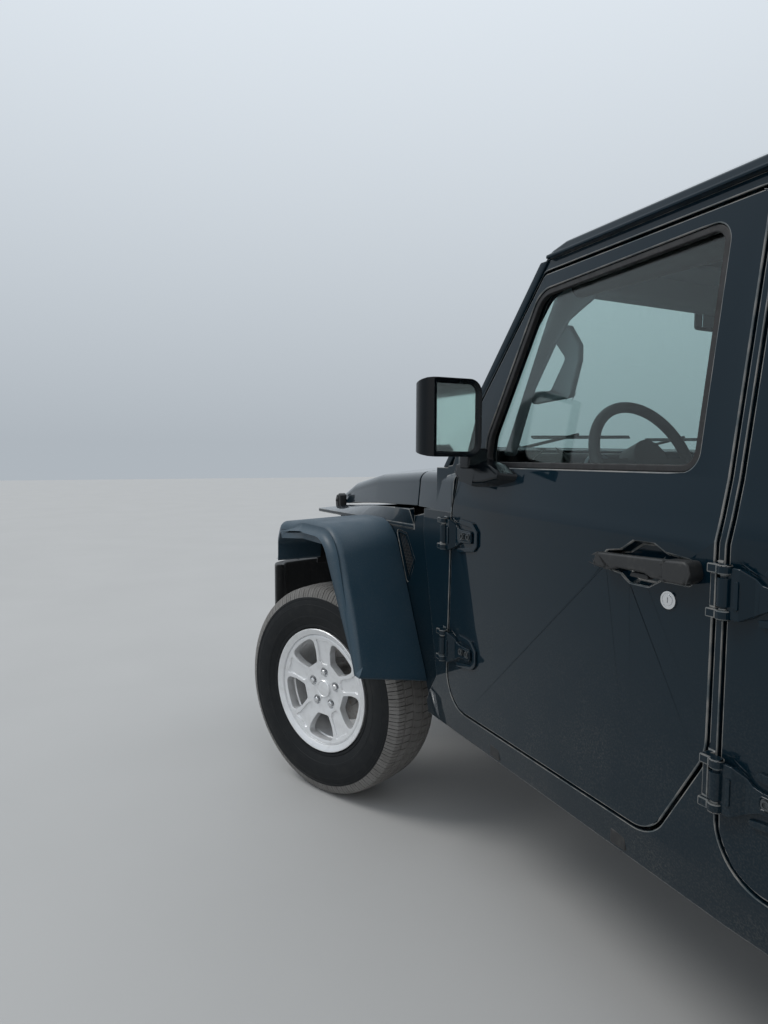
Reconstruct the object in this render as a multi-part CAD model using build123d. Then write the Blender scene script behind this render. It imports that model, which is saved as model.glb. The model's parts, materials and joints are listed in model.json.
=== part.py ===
from build123d import *
import math
import os

# A four-door off-road vehicle on a ladder frame, in millimetres.
# +X points forward, +Y to the left and +Z up. The origin is on the ground, in the middle of the
# vehicle's length and width. A place along the vehicle is often given as the distance behind the
# front axle, because every side outline was measured from there.

# Overall sizes
WHEELBASE = 3008.0
FRONT_OVERHANG = 735.0
REAR_OVERHANG = 1042.0
TRACK = 1598.0
FLARE_HALF_WIDTH = 937.5
ROOF_CROWN_Z = 1865.0
FRONT_AXLE_X = (FRONT_OVERHANG + WHEELBASE + REAR_OVERHANG) / 2 - FRONT_OVERHANG
REAR_AXLE_X = FRONT_AXLE_X - WHEELBASE

# Tyre and rim
TYRE_RADIUS = 399.5
TYRE_WIDTH = 245.0
RIM_BEAD_RADIUS = 216.0
RIM_FLANGE_RADIUS = 235.5
RIM_HALF_WIDTH = 107.5
RIM_FLANGE = 12.5
BARREL_INNER_RADIUS = 195.0
BEAD_CLEARANCE = 0.3
SEAT_GAP = 0.3             # a piece lies this far from what carries it
RIM_PAD = 40.0             # from the wheel's middle plane to the face that bolts on
SPOKES = 5
SPOKE_FIRST_DEG = 269.0
SPOKE_HALF_WIDTH = 31.0
LUG_CIRCLE_RADIUS = 63.5
LUG_RADIUS = 11.0
AXLE_Z = TYRE_RADIUS

# Wheel ends and steering
KINGPIN_OFFSET = 130.5     # from the wheel's middle plane in to the kingpin
KINGPIN_Y = TRACK / 2 - KINGPIN_OFFSET
KINGPIN_RADIUS = 12.0
STEER_REST_DEG = 22.0
SPINDLE_RADIUS = 25.0
RUNNING_CLEARANCE = 0.05
BRAKE_DISC_RADIUS = 150.0
BRAKE_DISC_THICK = 28.0
STEER_ARM = 150.0
TIE_ROD_RADIUS = 13.0

# Body
REAR_WALL = WHEELBASE + 727
SIDE_STATIONS = [          # place behind the front axle, half width of the body side
    (440.0, 700.5),
    (1735.0, 780.0),
    (WHEELBASE - 408, 790.0),
    (REAR_WALL, 780.0),
]
SILL_Z = 445.0
SILL_INSET = 13.0
CREASE_LOW_Z = 1137.0      # the shoulder crease runs between these two heights
CREASE_HIGH_Z = 1182.0
CREASE_INSET = 10.0
BELT_Z = 1250.0
RAIL_TOP_Z = 1783.0
GREENHOUSE_LEAN = 0.1      # the glazed upper part leans in this much for each unit of height
BELT_INSET = 22.0
DOOR_THICK = 90.0
WINDOW_FRAME_THICK = 45.0
DOOR_GAP = 7.0
DOOR_INNER_GAP = 16.0
DOOR_GAP_STEP = 25.0       # the wide inner gap starts this deep under the skin
GLASS_THICK = 5.0
GLASS_DEPTH = 20.0
FLOOR_Z = 600.0
SHEET = 15.0
COWL_FRONT = 447.0
COWL_REAR = 737.0
FIREWALL = 560.0
TUNNEL_REAR = 1460.0

# Hinges on the outside of the body
HINGE_PIN_RADIUS = 7.0
HINGE_BARREL_RADIUS = 13.0
HINGE_STANDOFF = 20.0
DOOR_BARREL_HALF = 25.0
BODY_BARREL_START = 31.0
BODY_BARREL_END = 48.0

# Frame
RAIL_WIDTH = 60.0
RAIL_HEIGHT = 110.0
CABIN_RAIL_Y = 470.0       # middle of the rail under the cabin and the cargo space

# Side outlines: place behind the front axle, height, corner radius
FRONT_DOOR = [
    (722, 528, 108),
    (752, 1341, 60),
    (1083, 1750, 22),
    (1720, 1752, 14),
    (1689, 1140, 250),
    (1686, 748, 110),
    (1560, 532, 90),
]
REAR_DOOR = [
    (1717, 545, 104),
    (1718, 1130, 250),
    (1749, 1752, 14),
    (WHEELBASE - 418, 1752, 18),
    (WHEELBASE - 418, 1000, 110),
    (WHEELBASE - 608, 545, 70),
]
FRONT_WINDOW = [
    (878, 1259, 34),
    (884, 1345, 90),
    (1066, 1711, 70),
    (1643, 1724, 42),
    (1622, 1259, 42),
]
REAR_WINDOW = [
    (1792, 1262, 42),
    (1806, 1722, 42),
    (WHEELBASE - 470, 1722, 42),
    (WHEELBASE - 470, 1262, 42),
]
QUARTER_WINDOW = [
    (WHEELBASE - 308, 1300, 50),
    (WHEELBASE - 308, 1708, 50),
    (REAR_WALL - 145, 1708, 50),
    (REAR_WALL - 125, 1300, 50),
]
REAR_ARCH = [
    (WHEELBASE - 508, 300, 0),
    (WHEELBASE - 353, 925, 120),
    (WHEELBASE + 337, 925, 120),
    (WHEELBASE + 492, 300, 0),
]
FENDER_EDGE = [            # the body side starts behind this line
    (430, 1200, 0),
    (560, 1200, 0),
    (554, 1040, 40),
    (653, 593, 20),
    (575, 490, 0),
    (575, 400, 0),
    (430, 400, 0),
]
# The windscreen pillar's rear face runs through this point at this slope
PILLAR_POINT = (854.0, 1468.0)
PILLAR_RUN = (232.0, 288.0)
PILLAR_THICK = 24.0


def row_x(behind):
    """the X of a place given as its distance behind the front axle"""
    return FRONT_AXLE_X - behind


def half_width(behind):
    """half width of the body side at a place behind the front axle"""
    first = SIDE_STATIONS[0]
    for last in SIDE_STATIONS[1:]:
        if behind <= last[0]:
            break
        first = last
    if last is first:
        first = SIDE_STATIONS[-2]
    share = (behind - first[0]) / (last[0] - first[0])
    return first[1] + share * (last[1] - first[1])


def outline_wire(corners, place):
    """a closed outline with rounded corners; place turns two numbers into a point"""
    edges = []
    legs = []
    count = len(corners)
    for i, (u, v, radius) in enumerate(corners):
        here = Vector(u, v)
        before = (Vector(*corners[i - 1][:2]) - here).normalized()
        after = (Vector(*corners[(i + 1) % count][:2]) - here).normalized()
        if radius == 0:
            legs.append((here, None, here))
            continue
        half = math.acos(max(-1, min(1, before.dot(after)))) / 2
        reach = radius / math.tan(half)
        inward = (before + after).normalized()
        middle = here + inward * (radius / math.sin(half) - radius)
        legs.append((here + before * reach, middle, here + after * reach))
    for i, (start, middle, end) in enumerate(legs):
        previous = legs[i - 1][2]
        if (start - previous).length > 1e-4:
            edges.append(Edge.make_line(place(previous.X, previous.Y), place(start.X, start.Y)))
        if middle is not None:
            points = [place(p.X, p.Y) for p in (start, middle, end)]
            edges.append(Edge.make_three_point_arc(*points))
    return Wire(edges)


def grown(corners, amount):
    """the same outline moved outwards by amount, its convex corners rounder by as much"""
    count = len(corners)
    pairs = zip(corners, corners[1:] + corners[:1])
    area = sum(a[0] * b[1] - b[0] * a[1] for a, b in pairs)
    turn = 1 if area > 0 else -1
    result = []
    for i, (u, v, radius) in enumerate(corners):
        here = Vector(u, v)
        into = (here - Vector(*corners[i - 1][:2])).normalized()
        out = (Vector(*corners[(i + 1) % count][:2]) - here).normalized()
        normal_in = Vector(into.Y, -into.X) * turn
        normal_out = Vector(out.Y, -out.X) * turn
        middle = (normal_in + normal_out).normalized()
        corner = here + middle * (amount / middle.dot(normal_in))
        convex = (into.X * out.Y - into.Y * out.X) * turn > 0
        new_radius = radius + (amount if convex else -amount) if radius else 0
        result.append((corner.X, corner.Y, max(new_radius, 0)))
    return result


def side_prism(corners, low_y, high_y):
    """a side outline, given behind the front axle, as a block between two Y values"""
    wire = outline_wire(corners, lambda behind, z: Vector(row_x(behind), low_y, z))
    return Solid.extrude(Face(wire), Vector(0, high_y - low_y, 0))


def plan_prism(corners, low_z, high_z):
    """a plan outline of (x, y, radius) as a block between two heights"""
    wire = outline_wire(corners, lambda x, y: Vector(x, y, low_z))
    return Solid.extrude(Face(wire), Vector(0, 0, high_z - low_z))


def cross_prism(corners, front_x, rear_x):
    """a cross-section outline of (y, z, radius) as a block between two X values"""
    wire = outline_wire(corners, lambda y, z: Vector(rear_x, y, z))
    return Solid.extrude(Face(wire), Vector(front_x - rear_x, 0, 0))


def block(x0, x1, y0, y1, z0, z1):
    size = (abs(x1 - x0), abs(y1 - y0), abs(z1 - z0))
    return Pos((x0 + x1) / 2, (y0 + y1) / 2, (z0 + z1) / 2) * Box(*size)


def rod(start, end, radius):
    start, end = Vector(start), Vector(end)
    run = end - start
    return Plane(origin=(start + end) / 2, z_dir=run) * Cylinder(radius, run.length)


def ring_y(profile):
    """a solid of revolution about Y from a profile of (y, radius)"""
    points = [Vector(radius, y, 0) for y, radius in profile]
    return revolve(Face(Wire.make_polygon(points, close=True)), Axis.Y)


def beam(stations, width, height):
    """a box beam through (behind, y, z) centres, straight between them"""
    faces = []
    for behind, y, z in stations:
        corners = [(-1, -1), (1, -1), (1, 1), (-1, 1)]
        points = [Vector(row_x(behind), y + a * width / 2, z + b * height / 2) for a, b in corners]
        faces.append(Face(Wire.make_polygon(points, close=True)))
    return loft(faces, ruled=True)


def joined(solids):
    solids = list(solids)
    return solids[0].fuse(*solids[1:]) if len(solids) > 1 else solids[0]


def on_right(shape):
    return mirror(shape, about=Plane.XZ)


def side_slab(front, rear, section):
    """the left side wall between two places: section holds (inset from half width, z)"""
    cuts = [front] + [s[0] for s in SIDE_STATIONS if front < s[0] < rear] + [rear]
    parts = []
    for a, b in zip(cuts, cuts[1:]):
        points = [Vector(row_x(a), half_width(a) - inset, z) for inset, z in section]
        run = Vector(row_x(b) - row_x(a), half_width(b) - half_width(a), 0)
        parts.append(Solid.extrude(Face(Wire.make_polygon(points, close=True)), run))
    return joined(parts)


def lean(z):
    """inset of the leaning upper skin at a height"""
    return BELT_INSET + GREENHOUSE_LEAN * (z - BELT_Z)


def wall_section():
    """the side wall: its outer skin and, inside, its lower and upper thickness"""
    outer = [(SILL_INSET, SILL_Z), (0, 530), (0, CREASE_LOW_Z), (CREASE_INSET, CREASE_HIGH_Z),
             (BELT_INSET, BELT_Z), (lean(RAIL_TOP_Z), RAIL_TOP_Z)]
    inner = [(lean(RAIL_TOP_Z) + WINDOW_FRAME_THICK, RAIL_TOP_Z),
             (BELT_INSET + WINDOW_FRAME_THICK, BELT_Z), (DOOR_THICK, BELT_Z - 10),
             (DOOR_THICK, SILL_Z)]
    return outer + inner


def glass_section():
    low, high = BELT_Z - 30, RAIL_TOP_Z
    near, far = GLASS_DEPTH, GLASS_DEPTH + GLASS_THICK
    return [(lean(low) + near, low), (lean(high) + near, high), (lean(high) + far, high),
            (lean(low) + far, low)]


# Doors: front edge, rear edge, outline, window, hinge pin place and the two hinge heights
PIN_FRONT = 730.0
PIN_REAR = 1726.0
HINGE_HEIGHTS = (714.0, 1057.0)
DOORS = {
    "front": (FRONT_DOOR, FRONT_WINDOW, PIN_FRONT),
    "rear": (REAR_DOOR, REAR_WINDOW, PIN_REAR),
}


def pin_y(pin):
    return half_width(pin) + HINGE_STANDOFF


def near_foot(pin, z):
    """the bend that takes a strap from its barrel down to the door skin"""
    return side_slab(pin + 26, pin + 44, [(-HINGE_STANDOFF, z - 60), (10, z - 60), (10, z + 60),
                                          (-HINGE_STANDOFF, z + 60)])


def door_hinge_straps(pin):
    """the door half of both hinges: a strap on the skin and a barrel round the pin"""
    parts = []
    y = pin_y(pin)
    x = row_x(pin)
    for z in HINGE_HEIGHTS:
        barrel = Pos(x, y, z) * Cylinder(HINGE_BARREL_RADIUS, 2 * DOOR_BARREL_HALF)
        outline = [
            (pin + 4, z - 22, 0),
            (pin + 4, z + 22, 0),
            (pin + 70, z + 40, 12),
            (pin + 146, z + 34, 16),
            (pin + 146, z - 34, 16),
            (pin + 70, z - 40, 12),
        ]
        outset = HINGE_STANDOFF + 4
        near = side_slab(pin + 4, pin + 32, [(-outset, z - 60), (-6, z - 60), (-6, z + 60),
                                             (-outset, z + 60)])
        far = side_slab(pin + 32, pin + 150, [(-12, z - 60), (10, z - 60), (10, z + 60),
                                              (-12, z + 60)])
        strap = joined([near, far, near_foot(pin, z)])
        parts.append(barrel + (strap & side_prism(outline, 0, 1000)))
    bore = Pos(x, y, 0) * Cylinder(HINGE_PIN_RADIUS + RUNNING_CLEARANCE, 4000)
    return [part - bore for part in parts]


def body_hinge_leaves(pin, leaf_front, leaf_rear):
    """the body half of both hinges: a plate, two knuckles and the pin"""
    y = pin_y(pin)
    x = row_x(pin)
    parts = []
    for z in HINGE_HEIGHTS:
        plate = side_slab(leaf_front, leaf_rear, [
            (-HINGE_STANDOFF + 2, z - BODY_BARREL_END), (2, z - BODY_BARREL_END),
            (2, z + BODY_BARREL_END), (-HINGE_STANDOFF + 2, z + BODY_BARREL_END)])
        pin_rod = Pos(x, y, z) * Cylinder(HINGE_PIN_RADIUS, 2 * BODY_BARREL_END)
        leaf = plate + pin_rod
        for low in (-BODY_BARREL_END, BODY_BARREL_START):
            high = low + BODY_BARREL_END - BODY_BARREL_START
            middle = z + (low + high) / 2
            leaf += Pos(x, y, middle) * Cylinder(HINGE_BARREL_RADIUS, high - low)
            arm_rear = min(x, row_x(leaf_rear))
            arm_front = row_x(leaf_front)
            leaf += block(arm_front, arm_rear, y - HINGE_BARREL_RADIUS, y + 6, z + low, z + high)
        parts.append(leaf)
    return parts


def door_handle(behind, z):
    """a pull handle that stands off the skin, with a bay behind it"""
    y = half_width(behind)
    grip = [(behind - 113, z - 18, 14), (behind - 105, z + 30, 18),
            (behind + 108, z + 26, 18), (behind + 113, z - 22, 16)]
    bar = side_prism(grip, y + 16, y + 38)
    posts = [block(row_x(behind + s * 88) - 15, row_x(behind + s * 88) + 15, y - 12, y + 18,
                   z - 12, z + 18) for s in (-1, 1)]
    return joined([bar] + posts)


def door(which):
    corners, window, pin = DOORS[which]
    slab = side_slab(700, WHEELBASE - 368, wall_section())
    panel = slab & side_prism(corners, 300, 1000)
    panel -= side_prism(window, 300, 1000)
    panel = joined([panel] + door_hinge_straps(pin))
    handle_place = {"front": 1534, "rear": WHEELBASE - 588}[which]
    return panel + door_handle(handle_place, 1070)


def door_glass(which):
    slab = side_slab(700, WHEELBASE - 368, glass_section())
    return slab & side_prism(DOORS[which][1], 300, 1000)


def door_aperture(corners):
    """the hole a door sits in: a narrow gap at the skin and a wider one inside"""
    narrow = side_prism(grown(corners, DOOR_GAP), 300, 1000)
    wide = side_prism(grown(corners, DOOR_INNER_GAP), 300, 1000)
    inner_section = [(inset + DOOR_GAP_STEP, z) for inset, z in
                     [(0, 400), (0, CREASE_LOW_Z), (CREASE_INSET, CREASE_HIGH_Z),
                      (BELT_INSET, BELT_Z),
                      (lean(RAIL_TOP_Z + 60), RAIL_TOP_Z + 60)]]
    inner_section += [(300, RAIL_TOP_Z + 60), (300, 400)]
    inner = side_slab(600, WHEELBASE - 308, inner_section)
    return narrow + (wide & inner)


def pillar_line(offset):
    """two far points of a line along the windscreen pillar, offset forwards and up"""
    length = math.hypot(*PILLAR_RUN)
    along = Vector(PILLAR_RUN[0] / length, PILLAR_RUN[1] / length)
    normal = Vector(-along.Y, along.X)
    middle = Vector(*PILLAR_POINT) + normal * offset
    return middle - along * 900, middle + along * 900


def ahead_of_pillar():
    """everything in front of the pillar's rear face, above the cowl, as a side prism"""
    low, high = pillar_line(DOOR_GAP)
    corners = [(low.X, low.Y, 0), (high.X, high.Y, 0), (300, high.Y, 0), (300, low.Y, 0)]
    return side_prism(corners, 300, 1000)


def body_side():
    """left side: rocker, cowl side, pillars, top rail and rear quarter with its corner"""
    wall = side_slab(SIDE_STATIONS[0][0] + 10, REAR_WALL, wall_section())
    wall -= side_prism(FENDER_EDGE, 300, 1000)
    wall -= door_aperture(FRONT_DOOR)
    wall -= door_aperture(REAR_DOOR)
    wall -= side_prism(REAR_ARCH, 300, 1000)
    wall -= ahead_of_pillar() & block(row_x(1300), row_x(300), 300, 1000, 1120, 2000)
    wall -= block(row_x(COWL_REAR), row_x(300), 300, 1000, 1120, 2000)
    wall -= block(row_x(REAR_WALL + 1), row_x(HARDTOP_FRONT), 300, 1000, HARDTOP_BASE_Z,
                  RAIL_TOP_Z + 1)
    corner = block(row_x(REAR_WALL), row_x(REAR_WALL - 60), GATE_OPENING, 700, 530,
                   HARDTOP_BASE_Z)
    wall = wall + corner
    wall = joined([wall] + body_hinge_leaves(PIN_FRONT, 698, 711))
    return joined([wall] + body_hinge_leaves(PIN_REAR, 1694, 1707))


# Hood and cowl: place behind the front axle, edge half width, edge z, shoulder z, crown z
HOOD_STATIONS = [
    (-560, 505, 1063, 1118, 1146),
    (-365, 536, 1079, 1172, 1206),
    (0, 596, 1102, 1218, 1256),
    (440, 664, 1120, 1238, 1276),
]
HOOD_SHOULDER = 40.0
HOOD_SHEET = 18.0


def hood_face(behind, half, edge, shoulder, crown, inset=0.0):
    """half-round section of the hood, inset inwards by the sheet where asked"""
    x = row_x(behind)
    half -= inset
    points = [(half, edge), (half - 8, shoulder - HOOD_SHOULDER - inset / 2),
              (half - HOOD_SHOULDER, shoulder - inset)]
    left = [Vector(x, y, z) for y, z in points]
    right = [Vector(x, -y, z) for y, z in points]
    edges = [
        Edge.make_line(left[0], left[1]),
        Edge.make_three_point_arc(left[1], Vector(x, half - 17, shoulder - inset - 12), left[2]),
        Edge.make_three_point_arc(left[2], Vector(x, 0, crown - inset), right[2]),
        Edge.make_three_point_arc(right[2], Vector(x, -half + 17, shoulder - inset - 12),
                                  right[1]),
        Edge.make_line(right[1], right[0]),
        Edge.make_line(right[0], left[0]),
    ]
    return Face(Wire(edges))


def hood():
    outer = loft([hood_face(*s) for s in HOOD_STATIONS], ruled=True)
    inner = loft([hood_face(*s, inset=HOOD_SHEET) for s in HOOD_STATIONS], ruled=True)
    front_lip = row_x(HOOD_STATIONS[0][0] + HOOD_SHEET)
    inner &= block(row_x(2000), front_lip, -800, 800, 900, 1400)
    shell = outer - inner
    for side in (1, -1):
        shell += hood_hinge_leaf(side, row_x(HOOD_PIN) + HINGE_BARREL_RADIUS + 6,
                                 row_x(HOOD_PIN) + 70, (-14, 14), True)
    return shell


HOOD_PIN = 446.0
HOOD_PIN_Z = 1288.0
HOOD_HINGE_Y = 470.0
HOOD_LEAF_HEIGHT = 47.0


def hood_hinge_leaf(side, near_x, far_x, span, barrel):
    """one leaf of a hood hinge; span is its width along the pin"""
    y = side * HOOD_HINGE_Y
    low, high = y + span[0], y + span[1]
    plate = block(near_x, far_x, low, high, HOOD_PIN_Z - HOOD_LEAF_HEIGHT, HOOD_PIN_Z + 5)
    arm = block(row_x(HOOD_PIN), near_x, low, high, HOOD_PIN_Z - 8, HOOD_PIN_Z + 5)
    knuckle = rod((row_x(HOOD_PIN), low, HOOD_PIN_Z), (row_x(HOOD_PIN), high, HOOD_PIN_Z),
                  HINGE_BARREL_RADIUS)
    leaf = plate + arm + knuckle
    if barrel:
        leaf -= rod((row_x(HOOD_PIN), low - 5, HOOD_PIN_Z), (row_x(HOOD_PIN), high + 5, HOOD_PIN_Z),
                    HINGE_PIN_RADIUS + RUNNING_CLEARANCE)
    return leaf


def cowl():
    """the panel between hood and windscreen, with the firewall below it"""
    behind, half, edge, shoulder, crown = HOOD_STATIONS[-1]
    rear_half = half_width(COWL_REAR)
    sections = [(COWL_FRONT, half, edge, shoulder, crown), (COWL_REAR, rear_half, edge, shoulder + 6,
                                                           crown + 2)]
    outer = loft([hood_face(*s) for s in sections], ruled=True)
    inner = loft([hood_face(*s, inset=HOOD_SHEET) for s in sections], ruled=True)
    shell = outer - inner
    shell -= block(row_x(COWL_REAR + 5), row_x(585), -800, 800, FRAME_BASE_Z, 1400)
    wall_half = half_width(FIREWALL) - DOOR_THICK
    wall = block(row_x(FIREWALL + SHEET), row_x(FIREWALL), -wall_half, wall_half,
                 FLOOR_Z - SHEET, edge - 20)
    wall -= block(row_x(600), row_x(400), -TUNNEL_HALF - SHEET, TUNNEL_HALF + SHEET, 500,
                  TUNNEL_TOP + SHEET)
    shelf = block(row_x(FIREWALL + SHEET), row_x(COWL_FRONT), -610, 610, edge - 35, edge - 20)
    upper = block(row_x(COWL_FRONT + SHEET), row_x(COWL_FRONT), -half + 30, half - 30, edge - 35,
                  shoulder - 14)
    shell = joined([shell, wall, shelf, upper])
    for side in (1, -1):
        corner = side_prism([(608, edge, 0), (COWL_REAR, edge, 0), (COWL_REAR, 1325, 0),
                             (700, 1262, 0), (608, FRAME_BASE_Z, 0)], 610, 692)
        corner -= ahead_of_pillar() & block(row_x(800), row_x(500), 300, 1000, FRAME_BASE_Z, 2000)
        shell += corner if side == 1 else on_right(corner)
        for span in ((-36, -20), (20, 36)):
            shell += hood_hinge_leaf(side, row_x(HOOD_PIN) - HINGE_BARREL_RADIUS - 6,
                                     row_x(HOOD_PIN) - 60, span, False)
        shell += rod((row_x(HOOD_PIN), side * HOOD_HINGE_Y - 36, HOOD_PIN_Z),
                     (row_x(HOOD_PIN), side * HOOD_HINGE_Y + 36, HOOD_PIN_Z), HINGE_PIN_RADIUS)
    return shell


# Windscreen frame, in its own leaning plane
FRAME_BASE_Z = 1255.0
SCREEN_BASE_HALF = 694.0
SCREEN_TOP_HALF = 668.0
SCREEN_PILLAR = 78.0
SCREEN_TOP_RAIL = 70.0
SCREEN_BOTTOM_RAIL = 62.0


def screen_plane(offset):
    """plane parallel to the windscreen, offset forwards from the pillar's rear face line"""
    length = math.hypot(*PILLAR_RUN)
    rise = FRAME_BASE_Z - PILLAR_POINT[1]
    behind = PILLAR_POINT[0] + rise * PILLAR_RUN[0] / PILLAR_RUN[1]
    normal = Vector(PILLAR_RUN[1] / length, 0, PILLAR_RUN[0] / length)
    origin = Vector(row_x(behind), 0, FRAME_BASE_Z) + normal * offset
    return Plane(origin=origin, x_dir=(0, 1, 0), z_dir=normal)


def screen_outline(inset_side, inset_top, inset_bottom, radius):
    """corners of the windscreen shape in its plane: (y, distance up, radius)"""
    length = math.hypot(*PILLAR_RUN)
    height = (RAIL_TOP_Z - FRAME_BASE_Z) * length / PILLAR_RUN[1]
    low, high = SCREEN_BASE_HALF - inset_side, SCREEN_TOP_HALF - inset_side
    return [(-low, inset_bottom, radius), (low, inset_bottom, radius),
            (high, height - inset_top, radius), (-high, height - inset_top, radius)]


def screen_prism(corners, offset, thick):
    plane = screen_plane(offset)
    sign = 1 if plane.from_local_coords(Vector(0, 10, 0)).Z > FRAME_BASE_Z else -1
    wire = outline_wire(corners, lambda y, up: plane.from_local_coords(Vector(y, sign * up, 0)))
    return Solid.extrude(Face(wire), plane.z_dir * thick)


def windscreen_frame():
    frame = screen_prism(screen_outline(0, -120, -120, 0), DOOR_GAP, PILLAR_THICK)
    frame -= screen_prism(
        screen_outline(SCREEN_PILLAR, SCREEN_TOP_RAIL, SCREEN_BOTTOM_RAIL, 60), 0, 90)
    return frame & block(row_x(1400), row_x(400), -900, 900, FRAME_BASE_Z, RAIL_TOP_Z)


def windscreen_glass():
    return screen_prism(
        screen_outline(SCREEN_PILLAR, SCREEN_TOP_RAIL, SCREEN_BOTTOM_RAIL, 60),
        DOOR_GAP + PILLAR_THICK / 2 - 3, 6)


# Roof: place behind the front axle, half width at the gutter, edge height, crown height
ROOF_EDGE_Z = 1829.0
ROOF_NOSE = [
    (1086, 683, 1801, 1814),
    (1106, 684, 1819, 1835),
]
ROOF_STATIONS = [
    (1160, 687, ROOF_EDGE_Z, 1848),
    (1735, 721, ROOF_EDGE_Z, ROOF_CROWN_Z),
    (WHEELBASE - 408, 731, ROOF_EDGE_Z, ROOF_CROWN_Z),
    (REAR_WALL - 15, 721, ROOF_EDGE_Z, 1850),
]
ROOF_SHEET = 34.0
ROOF_SPLIT = 1960.0
GUTTER_OUT = 14.0
SEAM = 4.0


def roof_face(behind, gutter, edge, crown, inset=0.0):
    x = row_x(behind)
    half = gutter - GUTTER_OUT - inset
    low = RAIL_TOP_Z
    points = [(half, low), (half - 4, edge - 17 - inset * 0.8), (half - 34, edge - inset)]
    left = [Vector(x, y, z) for y, z in points]
    right = [Vector(x, -y, z) for y, z in points]
    edges = [
        Edge.make_line(left[0], left[1]),
        Edge.make_line(left[1], left[2]),
        Edge.make_three_point_arc(left[2], Vector(x, 0, crown - inset), right[2]),
        Edge.make_line(right[2], right[1]),
        Edge.make_line(right[1], right[0]),
        Edge.make_line(right[0], left[0]),
    ]
    return Face(Wire(edges))


def gutter_strip(front, rear):
    """the drip rail along the left roof edge"""
    cuts = [front] + [s[0] for s in ROOF_STATIONS[1:] if front < s[0] < rear] + [rear]
    parts = []
    for a, b in zip(cuts, cuts[1:]):
        ya, yb = (half_width(c) - 59 for c in (a, b))
        section = [(-GUTTER_OUT - 10, RAIL_TOP_Z), (0, RAIL_TOP_Z), (0, RAIL_TOP_Z + 9),
                   (-GUTTER_OUT - 10, RAIL_TOP_Z + 12)]
        points = [Vector(row_x(a), ya + out, z) for out, z in section]
        run = Vector(row_x(b) - row_x(a), yb - ya, 0)
        parts.append(Solid.extrude(Face(Wire.make_polygon(points, close=True)), run))
    return joined(parts)


def roof_shell():
    outer = loft([roof_face(*s) for s in ROOF_NOSE + ROOF_STATIONS], ruled=True)
    inner = loft([roof_face(*s, inset=ROOF_SHEET) for s in ROOF_STATIONS], ruled=True)
    inner &= block(row_x(REAR_WALL - 50), row_x(ROOF_STATIONS[0][0] + 6), -900, 900, 1700, 1900)
    strip = gutter_strip(1100, REAR_WALL - 35)
    return (outer - inner) + strip + on_right(strip)


def roof_front_panels(shell):
    """two lift-off panels over the front seats"""
    panels = shell & block(row_x(ROOF_SPLIT - SEAM / 2), row_x(900), -900, 900, 1700, 1900)
    panels -= block(row_x(ROOF_SPLIT), row_x(900), -SEAM / 2, SEAM / 2, 1700, 1900)
    return panels


HARDTOP_FRONT = WHEELBASE - 402 + DOOR_INNER_GAP
HARDTOP_BASE_Z = 1240.0


def hardtop(shell):
    """fixed rear roof with its glazed sides and back, all around the cargo space"""
    top = shell & block(row_x(REAR_WALL + 65), row_x(ROOF_SPLIT + SEAM / 2), -900, 900, 1700, 1900)
    section = [(BELT_INSET - 1, HARDTOP_BASE_Z), (lean(RAIL_TOP_Z), RAIL_TOP_Z),
               (lean(RAIL_TOP_Z) + 45, RAIL_TOP_Z), (BELT_INSET + 44, HARDTOP_BASE_Z)]
    side = side_slab(HARDTOP_FRONT, REAR_WALL, section) - side_prism(QUARTER_WINDOW, 300, 1000)
    rear = cross_prism([(-750, HARDTOP_BASE_Z, 0), (750, HARDTOP_BASE_Z, 0), (697, RAIL_TOP_Z, 0),
                        (-697, RAIL_TOP_Z, 0)], row_x(REAR_WALL - 45), row_x(REAR_WALL))
    rear -= cross_prism(REAR_WINDOW_OUTLINE, row_x(REAR_WALL - 90), row_x(REAR_WALL + 30))
    return joined([top, side, on_right(side), rear])


REAR_WINDOW_OUTLINE = [(-590, 1290, 50), (590, 1290, 50), (572, 1716, 50), (-572, 1716, 50)]


def hardtop_glass():
    """quarter panes and the lift glass in the back"""
    section = glass_section()
    side = side_slab(HARDTOP_FRONT + 20, REAR_WALL - 75, section)
    side &= side_prism(QUARTER_WINDOW, 300, 1000)
    rear = cross_prism(REAR_WINDOW_OUTLINE, row_x(REAR_WALL - 20), row_x(REAR_WALL - 14))
    return side, on_right(side), rear


# Swing gate with the spare wheel, hinged on its right
GATE_HALF = 562.0
GATE_OPENING = GATE_HALF + 13
GATE_LOW = 640.0
GATE_HIGH = 1232.0
GATE_THICK = 60.0
GATE_FRONT = REAR_WALL - 50.0
GATE_REAR = GATE_FRONT + GATE_THICK
GATE_PIN_Y = -GATE_HALF - 38
GATE_PIN_BEHIND = GATE_REAR + 18.0
GATE_HINGE_HEIGHTS = (760.0, 1110.0)
SPARE_Y = -20.0
SPARE_Z = 1046.0
SPARE_BEHIND = WHEELBASE + REAR_OVERHANG - TYRE_WIDTH / 2


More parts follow.
